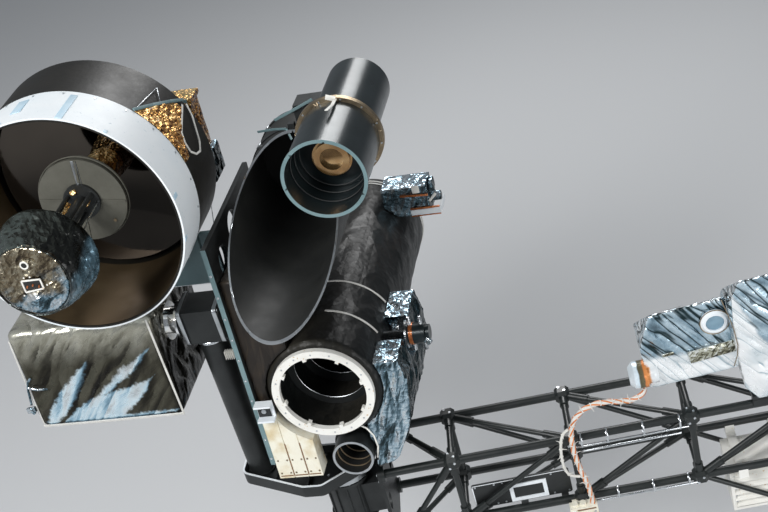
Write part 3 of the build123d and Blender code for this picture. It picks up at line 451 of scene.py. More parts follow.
black_paint = Finish("black tube paint", {"Coat Weight": 0.15, "Coat Roughness": 0.2})
black_paint.colour(0.06, 4, (0.006, 0.008, 0.008), (0.018, 0.023, 0.022))
black_paint.rough(0.24, 0.28, 0.02, 4)
black_paint.pits(0.0003, 0.5, 0.0025, 3)
bright_metal = Finish("bright metal", {"Metallic": 1.0})
bright_metal.colour(0.02, 2, (0.48, 0.52, 0.55), (0.86, 0.88, 0.90))
bright_metal.rough(0.18, 0.18, 0.03)
bright_metal.pits(0.0003, 0.3, 0.02)
dress(black_paint, "chord_upper_front", "chord_upper_back", "chord_lower_front", "chord_lower_back",
    "boom_battens", "side_diagonals", "flat_diagonals")


def screw(radius, height):
    """Round-head screw standing on the origin, with a socket sunk in its top."""
    head = settle(start("cylinder", vertices=12, radius=radius, depth=height, location=(0, 0, height / 2)))

    def middle(m, n):
        return n.z > 0.9 and abs(m.x) < radius * 0.1 and abs(m.y) < radius * 0.1

    work(head, lambda m, n: n.z > 0.9, "inset", thickness=radius * 0.3)
    work(head, middle, "inset", thickness=radius * 0.25)
    work(head, middle, "extrude_region_move", TRANSFORM_OT_translate={"value": (0, 0, -height * 0.4)})
    return head


def screws(name, radius, spots, finish, body="platform"):
    """Screws at spots in the body's own millimetres, each with the way it faces."""
    places = [facing(Vector(spot) / 1000, out, 1.7 * i) for i, (spot, out) in enumerate(spots)]
    smooth(seat(copies(screw(radius, radius * 0.55), places), name, finish, body))


chord_y, chord_z, half_node = 84, 102, 19
node_screws = []
for station in (-170, -470, -770, -1070):
    for y in (-1, 1):
        for z in (-1, 1):
            for shift in (-7, 7):
                x = station + shift
                node_screws.append(((x, y * (chord_y + half_node), z * chord_z + shift), (0, y, 0)))
                node_screws.append(((x, y * chord_y - shift, z * (chord_z + half_node)), (0, 0, z)))
screws("node_screws", 0.0034, node_screws, bright_metal, "boom")


# Conduits. Thin polished tubes, two under the upper front chord and one along the lower front chord,
# held to the chords by bands.

conduits = []
for x0, x1, y, z in ((-480, -760, -100, 84), (-500, -750, -99, 66), (-480, -765, -101, -108)):
    tube = start("cylinder", vertices=12, radius=0.003, depth=(x0 - x1) / 1000,
        location=((x0 + x1) / 2000, y / 1000, z / 1000), rotation=(0, radians(90), 0))
    work(tube, lambda m, n: abs(n.z) > 0.9, "bevel", offset=0.0008, segments=2)
    conduits.append(settle(tube))
smooth(seat(join(conduits), "conduits", bright_metal, "boom"))
clips = []
for x in (-500, -590, -680, -745):
    for z in (93, -103):
        clip = start("torus", major_radius=0.0150, minor_radius=0.0012, major_segments=24, minor_segments=6,
            location=(x / 1000, -0.088, z / 1000), rotation=(0, radians(90), 0))
        clip.data.transform(clip.matrix_world @ Matrix.Diagonal((1.35 if z > 0 else 1.15, 1, 2.2, 1)))
        clip.matrix_world = Matrix.Identity(4)
        clips.append(clip)
smooth(seat(join(clips), "conduit_clips", bright_metal, "boom"))


# Ends of the boom. The root plate has washers round its bolt holes; the end plate carries the
# azimuth actuator, a ribbed housing of black anodised metal with screwed flanges.


def modify(piece, kind, **settings):
    """Adds a modifier and applies it."""
    pick(piece)
    modifier = piece.modifiers.new(kind.lower(), kind)
    for setting, value in settings.items():
        setattr(modifier, setting, value)
    bpy.ops.object.modifier_apply(modifier=modifier.name)


def circle(count, reach, middle, ways="xz", shift=0.0):
    """Places evenly round a middle, in the plane of two axes; shift is a part of a step."""
    places = []
    for i in range(count):
        place = Vector(middle)
        angle = 2 * pi * (i + shift) / count
        place["xyz".index(ways[0])] += reach * cos(angle)
        place["xyz".index(ways[1])] += reach * sin(angle)
        places.append(place)
    return places


dark_metal = Finish("black anodised metal", {"Metallic": 0.55}, "dark_metal")
brushed = dark_metal.node("ShaderNodeMapping", {}, {"Vector": dark_metal.place, "Scale": (1, 1, 14)})[0]
brushed = dark_metal.node("ShaderNodeTexNoise", {}, {"Vector": brushed, "Scale": 60.0, "Detail": 3.0})[0]
dark_metal.colour(0.05, 4, (0.020, 0.022, 0.023), (0.052, 0.056, 0.056))
dark_metal.feed("Roughness", 0.30 + 0.25 * brushed)
dark_metal.bump(brushed, 0.0002, 0.4)
satin_metal = Finish("satin metal", {"Metallic": 1.0})
satin_metal.colour(0.03, 4, (0.42, 0.45, 0.47), (0.70, 0.73, 0.75))
satin_metal.rough(0.24, 0.28, 0.01, 3)
satin_metal.pits(0.0001, 0.5, 0.0015)
dress(dark_metal, "root_plate", "end_plate", "azimuth_bracket", "azimuth_housing")
washer = start("cylinder", vertices=32, radius=0.0115, depth=0.002, end_fill_type="NOTHING")
modify(washer, "SOLIDIFY", thickness=0.0048, offset=-1)
modify(washer, "BEVEL", width=0.0004, segments=2)
washers = copies(washer, [facing((-0.0130, y, z), (-1, 0, 0)) for y in (-0.1, 0.1) for z in (-0.06, 0.06)])
smooth(seat(washers, "root_washers", satin_metal, "boom"))
azimuth_x = -1355
flange_screws = []
for spot in circle(16, 61.5, (azimuth_x, 0, 0), "xy", 0.5):
    flange_screws += [(spot + Vector((0, 0, 65)), (0, 0, 1)), (spot + Vector((0, 0, -71)), (0, 0, -1))]
screws("flange_screws", 0.0032, flange_screws, satin_metal, "boom")
plate_screws = [((-1260, y, z), (-1, 0, 0)) for y in (-92, -60, 60, 92) for z in (-110, -88, 88, 110)]
plate_screws += [((-12, y, z), (-1, 0, 0)) for y in (-108, 108) for z in (-126, -42, 42, 126)]
screws("plate_screws", 0.0042, plate_screws, satin_metal, "boom")


# Yoke. A bright turntable carries a thin-walled tray with a white painted lip, and from the tray
# a round column goes up to the elevation housing, whose end frames are bare metal.

yoke_origin = (-1.320, -0.115, 0.418)
azimuth_turn, elevation_tip = radians(-9.0), radians(-4.5)
rests["yoke"] = Matrix.Translation(yoke_origin) @ Matrix.Rotation(azimuth_turn, 4, "Z")
rests["platform"] = rests["yoke"] @ Matrix.Rotation(elevation_tip, 4, "X")


def everything(middle, normal):
    """Test that every face passes."""
    return True


def node_copy(node, name):
    """Copy of a CAD node's mesh, to be worked on."""
    piece = bpy.data.objects.new(name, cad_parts[node].data.copy())
    bpy.context.collection.objects.link(piece)
    return piece


def cladding(node, name, test, thick, finish, body="platform", slot=None):
    """Thin plate or paint on a CAD node's faces that pass a test in the body's own millimetres."""
    piece = node_copy(node, name)
    piece.data.transform(Matrix.Scale(1000, 4) @ rests[body].inverted())
    work(piece, everything, "remove_doubles", threshold=0.01)
    work(piece, lambda m, n: not test(m, n), "delete", type="FACE")
    piece.data.transform(Matrix.Scale(0.001, 4))
    modify(piece, "SOLIDIFY", thickness=thick, offset=1)
    smooth(seat(piece, name, finish, body, slot))


white_paint = Finish("white paint", {}, "white_paint")
white_paint.colour(0.08, 5, (0.66, 0.74, 0.80), (0.83, 0.87, 0.90), (0.90, 0.92, 0.93))
white_paint.rough(0.34, 0.25, 0.03, 4)
white_paint.pits(0.0004, 0.5, 0.006, 4)
dress(satin_metal, "turntable")
dress(dark_metal, "yoke_beam", "yoke_arm", "elevation_housing")
cladding("yoke_beam", "tray_lip", lambda m, n: n.z > 0.95 and m.z > -298.5, 0.0012, white_paint, "yoke")
arm_x, arm_y = -266.6, 108
cladding("yoke_arm", "arm_ring",
    lambda m, n: 129.5 < m.z < 137.5 and Vector((m.x - arm_x, m.y - arm_y)).length > 38,
    0.0006, bright_metal, "yoke")
cladding("elevation_housing", "housing_frames",
    lambda m, n: abs(n.x) < 0.7 and (m.x < -309 or m.x > -225)
    and (abs(m.y - arm_y) > 41.5 or m.z < 137.5 or m.z > 233), 0.0006, satin_metal, "yoke")
housing_screws = [((x, y, z), (out, 0, 0)) for x, out in ((-317.6, -1), (-215.6, 1))
    for y in (arm_y - 38, arm_y, arm_y + 38) for z in (144, 230)]
screws("housing_screws", 0.0030, housing_screws, bright_metal, "yoke")
tray_spots = circle(12, 56, (-52.6, 108.1, -323.5), "xy")
tray_screws = [(spot, (0, 0, 1)) for spot in tray_spots if spot.y < 148]
screws("tray_screws", 0.0036, tray_screws, bright_metal, "yoke")


# Elevation shaft. A turned spool of polished metal shows between the housing and the electronics,
# with dark screws round its flange; cloudy gold patches in its colour are a painted reflection of the
# gold film beside it.

polished = Finish("polished metal", {"Metallic": 1.0})
# Painted reflection: the gold patches stand for the gold film mirrored in the drum.
polished.colour(0.025, 2, (0.74, 0.78, 0.82), (0.92, 0.93, 0.93), (0.84, 0.72, 0.50))
polished.rough(0.06, 0.14, 0.012)
dress(polished, "elevation_shaft")
shaft_y, shaft_z = 93, 195
spool_screws = [(spot, (1, 0, 0)) for spot in circle(8, 41, (-323.6, shaft_y, shaft_z), "yz")]
screws("spool_screws", 0.0026, spool_screws, dark_metal)


# Bench. The upright plate that holds the cameras: black outside, its front edge and the link
# plate at its top painted teal grey, with screws down the front.

teal_paint = Finish("teal grey paint", {})
teal_paint.colour(0.07, 5, (0.075, 0.130, 0.140), (0.150, 0.235, 0.250), (0.240, 0.330, 0.345))
teal_paint.rough(0.36, 0.3, 0.015, 4)
teal_paint.pits(0.0002, 0.5, 0.003)
dress(dark_metal, "bench_plate")
dress(teal_paint, "link_plate")
cladding("bench_plate", "bench_front", lambda m, n: n.y < -0.95 and m.y < 1, 0.0008, teal_paint)
front = (0, -1, 0)      # the way the cameras look
bench_screws = [((-178, -0.8, z), front) for z in range(-180, 420, 60)]
bench_screws += [((-184, y, z), (-1, 0, 0)) for y in (24, 130, 250, 396) for z in (-30, 120, 330, 410)]
screws("bench_screws", 0.0030, bench_screws, bright_metal)
cladding("link_plate", "link_edge", lambda m, n: n.z < -0.9 and m.z < 300, 0.0016, white_paint)
thin_rod = start("cylinder", vertices=8, radius=0.0012, depth=0.27, location=(-0.2255, 0.118, 0.405),
    rotation=(radians(3), radians(-5), 0))
work(thin_rod, lambda m, n: abs(n.z) > 0.9, "bevel", offset=0.0003, segments=1)
smooth(seat(thin_rod, "bond_rod", bright_metal))


# Narrow camera. A long tube in a black blanket that is sewn along white tape, an ivory ring with
# eight tabs at its mouth, knife-edged baffles and a dark lens inside.


def drape(node, name, finish, grid, depth, size, along, stretch, seed, proud=0.25, keep=0.3, sewn=0.04,
        bend=0.12, body="platform", turned=None):
    """Film in place of a soft CAD node, in facets that stand proud of it.

    The facets are about size across and depth deep, drawn out by stretch along one way. They fade
    within sewn metres of the node's edges that bend by more than bend radians.
    """
    piece = node_copy(node, name)
    work(piece, everything, "remove_doubles", threshold=0.0001)
    shape = bmesh.new()
    shape.from_mesh(piece.data)
    spots = []
    for edge in shape.edges:
        if edge.calc_face_angle(0) > bend:
            first, last = (vertex.co.copy() for vertex in edge.verts)
            count = int((last - first).length / 0.006) + 2
            spots += [first.lerp(last, i / (count - 1)) for i in range(count)]
    shape.free()
    tree = kdtree.KDTree(len(spots))
    for i, spot in enumerate(spots):
        tree.insert(spot, i)
    tree.balance()
    modify(piece, "REMESH", mode="VOXEL", voxel_size=grid)
    along = ((turned or rests[body]).to_3x3() @ Vector(along)).normalized()
    spins = [Matrix.Rotation(a, 3, "X") @ Matrix.Rotation(b, 3, "Z") for a, b in ((0.6, 0.5), (1.3, 2.1))]
    shift = Vector((seed, 2.3 * seed, 3.1 * seed))
    normals = [vertex.normal.copy() for vertex in piece.data.vertices]
    for vertex, normal in zip(piece.data.vertices, normals):
        spot = vertex.co - along * (vertex.co.dot(along) * (1 - 1 / stretch))
        spot = spot / size + shift + 0.12 * noise.noise_vector(spot / size)
        height = 0
        for share, scale, spin in zip((0.5, 0.15), (1.0, 2.3), spins):
            height += share * noise.voronoi(spin @ (spot * scale), distance_metric="MANHATTAN")[0][0]
        height += 0.9 * abs(noise.noise(spot * 1.3))
        free = min(1.0, tree.find(vertex.co)[2] / sewn) if spots else 1.0
        vertex.co += normal * depth * free * (height - 1 + proud)
    piece.data.update()
    modify(piece, "DECIMATE", ratio=keep)
    smooth(seat(piece, name, finish, body, place=Matrix.Identity(4)), 18)
    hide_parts(node)
    return piece


black_blanket = Finish("black blanket", {"Specular IOR Level": 0.3}, "black_blanket")
fold = black_blanket.facets(0.06, (0.4, 0.2, -0.16), (1, 2.2, 1))[0]
small_fold, small_tone = black_blanket.facets(0.018, (1.1, 0.2, 0.4))
crumpled = 0.8 * fold + 0.12 * small_fold
# Painted light and shade: the blanket's facets are painted lighter where they face the light.
black_blanket.feed("Base Color", black_blanket.film(crumpled, 0.005, 0.1, 1.0, black_blanket.grain(0.09, 4),
    (0.004, 0.005, 0.005), (0.009, 0.009, 0.008), (0.025, 0.023, 0.018)))
black_blanket.feed("Roughness", 0.36 + 0.14 * small_tone)
drape("narrow_camera", "camera_blanket", black_blanket, grid=0.0052, depth=0.006, size=0.10,
    along=(0.4, 1, 0.1), stretch=2.0, seed=3.0, proud=0.35, keep=0.5, sewn=0.12, bend=0.6)
ivory_paint = Finish("ivory paint", {}, "white_paint")
specks = ivory_paint.step(ivory_paint.grain(0.006), 0.66, 0.74)
shades = ivory_paint.tint(ivory_paint.grain(0.05, 4), (0.68, 0.66, 0.60), (0.84, 0.83, 0.78),
    (0.90, 0.90, 0.87))
ivory_paint.feed("Base Color", ivory_paint.mix(specks, shades, (0.62, 0.45, 0.26, 1)))
ivory_paint.rough(0.42, 0.2, 0.02)
ivory_paint.pits(0.0003, 0.5, 0.004, 3)
dress(ivory_paint, "camera_ring")
dress(dark_metal, "camera_baffles")
cladding("camera_baffles", "baffle_edges", lambda m, n: abs(n.y) < 0.8 and n.x * m.x + n.z * m.z < 0, 0.0008,
    satin_metal)
lens_glass = Finish("dark lens glass", {"Metallic": 0.6, "Coat Weight": 1.0, "Coat Roughness": 0.02},
    "lens_glass")
lens_glass.colour(0.06, 2, (0.010, 0.010, 0.018), (0.045, 0.030, 0.050))
lens_glass.rough(0.03, 0.05, 0.02)
dress(lens_glass, "camera_lens")
dress(tape_white, "camera_bands")
ring_screws = [(spot, front) for spot in circle(16, 115.5, (0, 0, 0), shift=1 / 22.5)]
screws("ring_screws", 0.0021, ring_screws, satin_metal)


# Side cover. A brown-black blanket over the narrow camera's left side, pulled into long upright
# folds between the bench and the tube.

umber_blanket = Finish("umber blanket", {"Specular IOR Level": 0.35}, "black_blanket")
fold, tone = umber_blanket.facets(0.04, (0.2, 0.1, 0.4), (1, 1, 4))
crumpled = 0.4 * fold + 0.3 * umber_blanket.folds(0.045, (0.1, 0, 0.5))
# Painted light and shade: the blanket's facets are painted lighter where they face the light.
umber_blanket.feed("Base Color", umber_blanket.film(crumpled, 0.008, 0.1, 1.0, umber_blanket.grain(0.05, 4),
    (0.005, 0.004, 0.003), (0.016, 0.012, 0.009), (0.046, 0.034, 0.022)))
umber_blanket.feed("Roughness", 0.28 + 0.3 * tone)
drape("side_cover", "side_blanket", umber_blanket, grid=0.0048, depth=0.013, size=0.075,
    along=(0.1, 0.1, 1), stretch=3.5, seed=5.0, proud=0.2, keep=0.4)


# Hood. A great oblique scoop of black painted sheet with a thin bare lip, on a drum behind it,
# tied by two straps and laced across to the camera above.


def bar(first, last, width, thick, face=front):
    """Flat bar between two points in millimetres, its broad side turned to face."""
    first = Vector(first) / 1000
    last = Vector(last) / 1000
    along = (last - first).normalized()
    side = along.cross(Vector(face)).normalized()
    piece = start("cube", size=1.0)
    piece.data.transform(Matrix.Diagonal(((last - first).length, width / 1000, thick / 1000, 1)))
    piece.data.transform(Matrix((along, side, along.cross(side))).transposed().to_4x4())
    piece.data.transform(Matrix.Translation((first + last) / 2))
    return piece


def strip(points, width, thick, face=front):
    """Bars end to end along a list of points."""
    return [bar(a, b, width, thick, face) for a, b in zip(points, points[1:])]


def trim(parts, name, finish, body="platform", slot=None, place=None, round_off=0.0004):
    """Joins small parts, takes the sharpness off them and seats them."""
    piece = join(parts)
    modify(piece, "BEVEL", width=round_off, segments=2, limit_method="ANGLE", angle_limit=radians(50))
    smooth(seat(piece, name, finish, body, slot, place), 40)


hood_paint = Finish("hood black", {}, "dark_metal")
hood_paint.colour(0.12, 5, (0.006, 0.007, 0.007), (0.017, 0.018, 0.017), (0.030, 0.030, 0.026))
hood_paint.rough(0.40, 0.3, 0.05, 4)
hood_paint.bump(hood_paint.grain(0.02, 4) + 0.3 * hood_paint.grain(0.002), 0.0012, 0.4)
dress(hood_paint, "oval_hood", "hood_body")
dress(dark_metal, "hood_straps")
cladding("oval_hood", "hood_lip", lambda m, n: n.y < -0.35 and m.y < 330, 0.0008, satin_metal)
lacing = strip([(-41, 335, 571.5), (10, 331, 592), (64, 335, 612)], 7, 1.5)
lacing += strip([(-84, 316, 556), (-40, 314, 558), (-12, 316, 554), (0, 300, 532)], 6, 1.5)
trim(lacing, "hood_lacing", teal_paint)
hood_z = 420
strap_clips = [bar((x, y - 8, z), (x, y + 8, z), 14, 5, (x, 0, z - hood_z)) for y in (321, 410)
    for x, z in ((-92, 516), (92, 516), (133.5, hood_z), (-133.5, hood_z))]
trim(strap_clips, "strap_clips", satin_metal, round_off=0.001)


# Wide camera. A polished dark barrel with a painted lip, a bronze flange at its waist and a
# gold-coated lens deep inside; a strip of ivory tape runs from the flange over its right.

lacquer = Finish("polished black lacquer",
    {"Metallic": 0.3, "Coat Weight": 0.15, "Coat Roughness": 0.12, "Specular IOR Level": 0.4})
lacquer.colour(0.09, 4, (0.008, 0.012, 0.013), (0.026, 0.038, 0.042))
lacquer.rough(0.24, 0.12, 0.03, 4)
lacquer.pits(0.0007, 0.4, 0.03, 3)
bronze = Finish("bronze metal", {"Metallic": 1.0})
bronze.colour(0.03, 4, (0.20, 0.15, 0.10), (0.46, 0.37, 0.25))
bronze.rough(0.28, 0.3, 0.012)
wide_x, wide_z = 162.8, 597.7
dress(lacquer, "wide_camera")
dress(dark_metal, "wide_bracket")
cladding("wide_camera", "wide_lip", lambda m, n: n.y < -0.8 and m.y < -49, 0.0007, teal_paint)
cladding("wide_camera", "wide_flange",
    lambda m, n: 137 < m.y < 151 and Vector((m.x - wide_x, m.z - wide_z)).length > 93,
    0.0006, bronze, slot="dark_metal")
gold_glass = Finish("gold lens glass", {"Metallic": 0.9, "Coat Weight": 1.0, "Coat Roughness": 0.02})
gold_glass.colour(0.03, 2, (0.10, 0.045, 0.012), (0.42, 0.23, 0.08), (0.80, 0.55, 0.26))
gold_glass.rough(0.10, 0.08, 0.01)
dress(gold_glass, "wide_lens")


def hoop(x, y, z, reach, thin, segments=96):
    """Thin ring about an axis along Y, in millimetres."""
    return settle(start("torus", major_radius=reach / 1000, minor_radius=thin / 1000,
        major_segments=segments, minor_segments=8, location=(x / 1000, y / 1000, z / 1000),
        rotation=(radians(90), 0, 0)))


rings = [hoop(wide_x, y, wide_z, reach, 1.6) for y, reach in ((2, 84), (38, 82), (60, 76))]
smooth(seat(join(rings), "wide_rings", dark_metal))
tag = strip([(156, 138, 702), (177, 138, 694)], 12, 2)
tag += strip([(177, 138, 694), (178, 100, 698), (174, 60, 706)], 8, 2, (0, 0, 1))
trim(tag, "wide_tag", ivory_paint)
wide_screws = [(spot, front) for spot in circle(12, 96.5, (wide_x, 138, wide_z), shift=0.5)]
screws("wide_screws", 0.0024, wide_screws, satin_metal)


# Photometer, radiator and channel. A bored black barrel with a bright mouth, beside cream painted
# radiator panels parted by brown strips and a short white channel.

dress(dark_metal, "photometer", "photometer_bracket")
cladding("photometer", "photometer_mouth", lambda m, n: n.y < -0.9 and m.y < 1, 0.0010, satin_metal)
bore_x, bore_z = 28, -200
rings = [hoop(bore_x, y, bore_z, reach, 1.8, 64) for y, reach in ((24, 43.5), (48, 42), (74, 38), (96, 33))]
smooth(seat(join(rings), "photometer_rings", bronze, slot="dark_metal"))
cream_paint = Finish("cream paint", {})
aged = cream_paint.step(cream_paint.grain(0.05, 4), 0.45, 0.75)
cream_paint.feed("Base Color", cream_paint.mix(aged, (0.86, 0.83, 0.70, 1), (0.66, 0.54, 0.32, 1)))
cream_paint.rough(0.5, 0.2, 0.02)
cream_paint.bump(cream_paint.grain(0.004, 3) + 0.6 * cream_paint.grain(0.03, 2), 0.0005, 0.5)
dress(cream_paint, "radiator")
brown_tape = Finish("brown tape", {})
brown_tape.colour(0.012, 4, (0.10, 0.05, 0.025), (0.33, 0.19, 0.09))
brown_tape.rough(0.42, 0.2, 0.01)
brown_tape.pits(0.0003, 1, 0.003)
strips = [bar((x, 0.4, -240), (x, 0.4, -140), 3.2, 2.4) for x in (-133.2, -95.8)]
strips += [bar((x0, -0.5, -239), (x1, -0.5, -239), 3, 1.4)
    for x0, x1 in ((-168, -136), (-131, -98), (-93, -64))]
trim(strips, "radiator_strips", brown_tape, slot="cream_paint")
spots = [((x, 0, z), front) for x in (-164, -140, -126, -103, -88, -66) for z in (-230, -190)]
screws("radiator_screws", 0.0024, spots, bronze)
dress(white_paint, "channel_bracket")
trim([bar((-170, -8, -28), (-138, -8, -28), 34, 1.5)], "channel_floor", dark_metal)
screws("channel_screws", 0.0062, [((-154, -8.7, -28), front)], satin_metal)


# Blanket skirt. Aluminised film hangs in sharp loose folds round the right of the camera and the
# photometer, with a white binding along its edge.

silver_film = Finish("silver film", {"Metallic": 0.92}, "silver_film")
fold = silver_film.facets(0.030, (0.1, 0.35, 0.3), (1, 1, 2.4))[0]
small_fold, small_tone = silver_film.facets(0.013, (1.1, 0.4, 0.2), (1, 1, 1.6))
crumpled = 0.30 * fold + 0.10 * small_fold + 0.30 * silver_film.folds(0.030, (0.1, 0.3, 0.2), 4.0)
# Painted light and shade: the film's facets are painted lighter where they face the light.
silver_film.feed("Base Color", silver_film.film(crumpled, 0.012, 0.15, 1.0, silver_film.grain(0.05, 4),
    (0.02, 0.035, 0.04), (0.14, 0.22, 0.27), (0.46, 0.60, 0.69), (0.90, 0.95, 0.98)))
silver_film.feed("Roughness", 0.12 + 0.2 * small_tone)
drape("blanket_skirt", "skirt_film", silver_film, grid=0.0034, depth=0.016, size=0.045,
    along=(0.25, 0.2, 1), stretch=2.6, seed=7.0, sewn=0.02)
binding = strip([(92, 26, -66), (106, 28, -80), (113, 30, -103), (110, 30, -130), (98, 32, -151)], 4, 2)
binding += strip([(56, 14, -108), (76, 18, -126), (88, 20, -152), (91, 20, -186), (82, 20, -220)], 4, 2)
trim(binding, "skirt_binding", ivory_paint)


# Side actuator. A small lacquered motor on the camera's right with four bright posts, a film band
# round its near end and a silvered connector.

dress(lacquer, "side_actuator")
cladding("side_actuator", "actuator_posts", lambda m, n: abs(m.z - 37) > 27.5 or m.x < 197 or m.x > 251,
    0.0006, bright_metal)
orange_film = Finish("orange film", {"Metallic": 0.7, "Coat Weight": 0.5})
orange_film.colour(0.012, 4, (0.40, 0.10, 0.03), (0.86, 0.30, 0.10))
orange_film.rough(0.2, 0.2, 0.01)
orange_film.bump(orange_film.facets(0.008)[0], 0.0008, 0.8)
band = start("cylinder", vertices=48, radius=0.0268, depth=0.009, end_fill_type="NOTHING",
    location=(0.206, 0.165, 0.037), rotation=(0, radians(90), 0))
modify(band, "SOLIDIFY", thickness=0.0009, offset=1)
smooth(seat(band, "actuator_band", orange_film))
trim([bar((240, 146, 30), (252, 140, 20), 14, 10, (0, -1, 0.3))], "actuator_plug", silver_film,
    round_off=0.0015)


# Tail fitting. A film-wrapped box behind the camera, with a white painted strip round its corner,
# orange tapes beside it and small ivory tags stuck on the film.

drape("rear_box", "fitting_film", silver_film, grid=0.0030, depth=0.008, size=0.05,
    along=(0.6, 0, 1), stretch=2.0, seed=9.0, proud=0.2, sewn=0.02)
corner = [bar((150, 650.5, 98), (231, 650.5, 98), 16, 2.5),
    bar((232.5, 655, 98), (232.5, 725, 98), 16, 2.5, (1, 0, 0))]
trim(corner, "fitting_bar", white_paint)
tapes = [bar((150, 650, 110), (231, 650, 110), 5, 2.5), bar((150, 650, 87.5), (231, 650, 87.5), 3, 2.5),
    bar((130, 650, 152), (206, 650, 148), 6, 2)]
trim(tapes, "fitting_tape", orange_film)
tags = [bar((166, 649.5, 168), (186, 649.5, 168), 22, 2), bar((206, 649.5, 128), (228, 649.5, 150), 7, 2)]
trim(tags, "fitting_tags", ivory_paint, round_off=0.0009)


# Telescope barrel. A wide black barrel with a broad white painted band round its mouth, a concave
# mirror at the bottom, coloured dark as painted shade, and patches of pale blue tape on the paint.

barrel_black = Finish("barrel black", {"Specular IOR Level": 0.35})
barrel_black.colour(0.10, 4, (0.004, 0.004, 0.003), (0.011, 0.010, 0.008), (0.024, 0.020, 0.015))
barrel_black.rough(0.34, 0.25, 0.05, 4)
barrel_black.pits(0.0008, 0.5, 0.012, 4)
dress(barrel_black, "mirror_barrel")
scope_x, scope_z = -443, 571
lining_paint = Finish("barrel lining", {"Metallic": 0.6}, "dark_metal")
lining_paint.colour(0.12, 5, (0.030, 0.024, 0.018), (0.14, 0.10, 0.055), (0.22, 0.17, 0.10))
lining_paint.rough(0.32, 0.2, 0.03, 4)
lining_paint.pits(0.0010, 0.4, 0.05, 3)
lining = start("cylinder", vertices=160, radius=0.2645, depth=0.262, end_fill_type="NOTHING",
    location=(scope_x / 1000, 0.060, scope_z / 1000), rotation=(radians(90), 0, 0))
modify(lining, "SOLIDIFY", thickness=0.0004, offset=-1)
smooth(seat(lining, "barrel_lining", lining_paint))
band_paint = Finish("band paint", {})
wear = band_paint.step(band_paint.grain(0.012, 6, 0.7), 0.62, 0.70)
shades = band_paint.tint(band_paint.grain(0.16, 3), (0.70, 0.80, 0.86), (0.86, 0.90, 0.92),
    (0.78, 0.86, 0.91))
band_paint.feed("Base Color", band_paint.mix(wear, shades, (0.55, 0.64, 0.70, 1)))
band_paint.rough(0.36, 0.25, 0.05, 4)
band_paint.bump(band_paint.grain(0.02, 4) + 0.4 * band_paint.grain(0.002), 0.0010, 0.4)
dress(band_paint, "white_band")
# Painted shade: the mirror's colour is darkened.
mirror_glass = Finish("mirror glass", {"Metallic": 1.0})
mirror_glass.colour(0.2, 2, (0.035, 0.032, 0.030), (0.10, 0.085, 0.070))
mirror_glass.rough(0.02, 0.05, 0.06)
dress(mirror_glass, "primary_mirror")


def on_barrel(angle, y, reach=275.5):
    """Place on the barrel's side at an angle in degrees above level, in millimetres."""
    return Vector((scope_x + reach * cos(radians(angle)), y, scope_z + reach * sin(radians(angle))))


tabs = []
for angle, y0, y1, wide in (
        (104, -74, -60, 12), (98, -30, 30, 26), (74, -70, 40, 16), (52, -74, -62, 8), (8, -70, -50, 10),
        (-14, -74, -58, 10), (152, -20, 40, 20), (128, -74, -64, 9), (-150, -60, 30, 18)):
    out = (cos(radians(angle)), 0, sin(radians(angle)))
    tabs.append(bar(on_barrel(angle, y0, 274.6), on_barrel(angle, y1, 274.6), wide, 1.4, out))
blue_tape = Finish("pale blue tape", {}, "white_paint")
blue_tape.colour(0.02, 4, (0.40, 0.60, 0.74), (0.66, 0.80, 0.88))
blue_tape.rough(0.35, 0.2, 0.01)
blue_tape.pits(0.0004, 1, 0.006)
trim(tabs, "band_tape", blue_tape)
scope_middle = Vector((scope_x, 44, scope_z))
band_screws = [(spot, spot - scope_middle) for spot in circle(24, 274, scope_middle, shift=0.3)]
screws("band_screws", 0.0026, band_screws, satin_metal)


# Secondary mirror support. A gold-filmed tube stands on the mirror, then a sandblasted baffle disc
# with a seam strip and two rims, and posts and gilded blocks that carry the cap.

gold_film = Finish("gold film", {"Metallic": 0.65, "Coat Weight": 0.2, "Coat Roughness": 0.1}, "gold_film")
fold = gold_film.facets(0.022, (0.3, 0.2, 0.9), (1, 1.8, 1))[0]
small_fold, small_tone = gold_film.facets(0.009, (0.9, 0.4, 1.2))
crumpled = 0.6 * fold + 0.4 * small_fold
# Painted light and shade: the film's facets are painted lighter where they face the light, dark where turned
# away.
gold_film.feed("Base Color", gold_film.film(crumpled, 0.007, -0.35, 0.95, gold_film.grain(0.04, 4),
    (0.10, 0.035, 0.010), (0.42, 0.17, 0.04), (0.88, 0.46, 0.12), (0.98, 0.76, 0.38)))
gold_film.feed("Roughness", 0.14 + 0.22 * small_tone)
drape("mirror_tube", "tube_film", gold_film, grid=0.0026, depth=0.006, size=0.028,
    along=(0, 1, 0.2), stretch=2.6, seed=11.0, proud=0.3, sewn=0.01, bend=0.6)
sandblast = Finish("sandblasted metal", {"Metallic": 0.35}, "grey_blast")
sandblast.feed("Base Color", sandblast.tint(sandblast.grain(0.06, 6, 0.7),
    (0.07, 0.07, 0.055), (0.12, 0.118, 0.097), (0.17, 0.165, 0.140)))
sandblast.rough(0.62, 0.2, 0.004)
sandblast.pits(0.0004, 0.7, 0.0014, 4)
dress(sandblast, "baffle_disc")
dress(dark_metal, "cap_neck")
rims = [hoop(scope_x, y, scope_z, reach, 1.6) for y, reach in ((60, 108), (70, 104))]
for angle in (0.4, 1.4, 2.5, 3.5, 4.6, 5.6):
    x, z = scope_x + 100 * cos(angle), scope_z + 100 * sin(angle)
    rims.append(bar((x, 52, z), (x, 74, z), 6, 3, (cos(angle), 0, sin(angle))))
smooth(seat(join(rims), "disc_rims", sandblast))
seams = [bar((scope_x + 2, 49.0, scope_z + 24), (scope_x + 8, 49.0, scope_z + 103), 7, 1.6),
    bar((scope_x + 11, 48.6, scope_z + 22), (scope_x + 16, 48.6, scope_z + 101), 1.2, 1.0)]
trim(seams, "disc_seam", satin_metal)
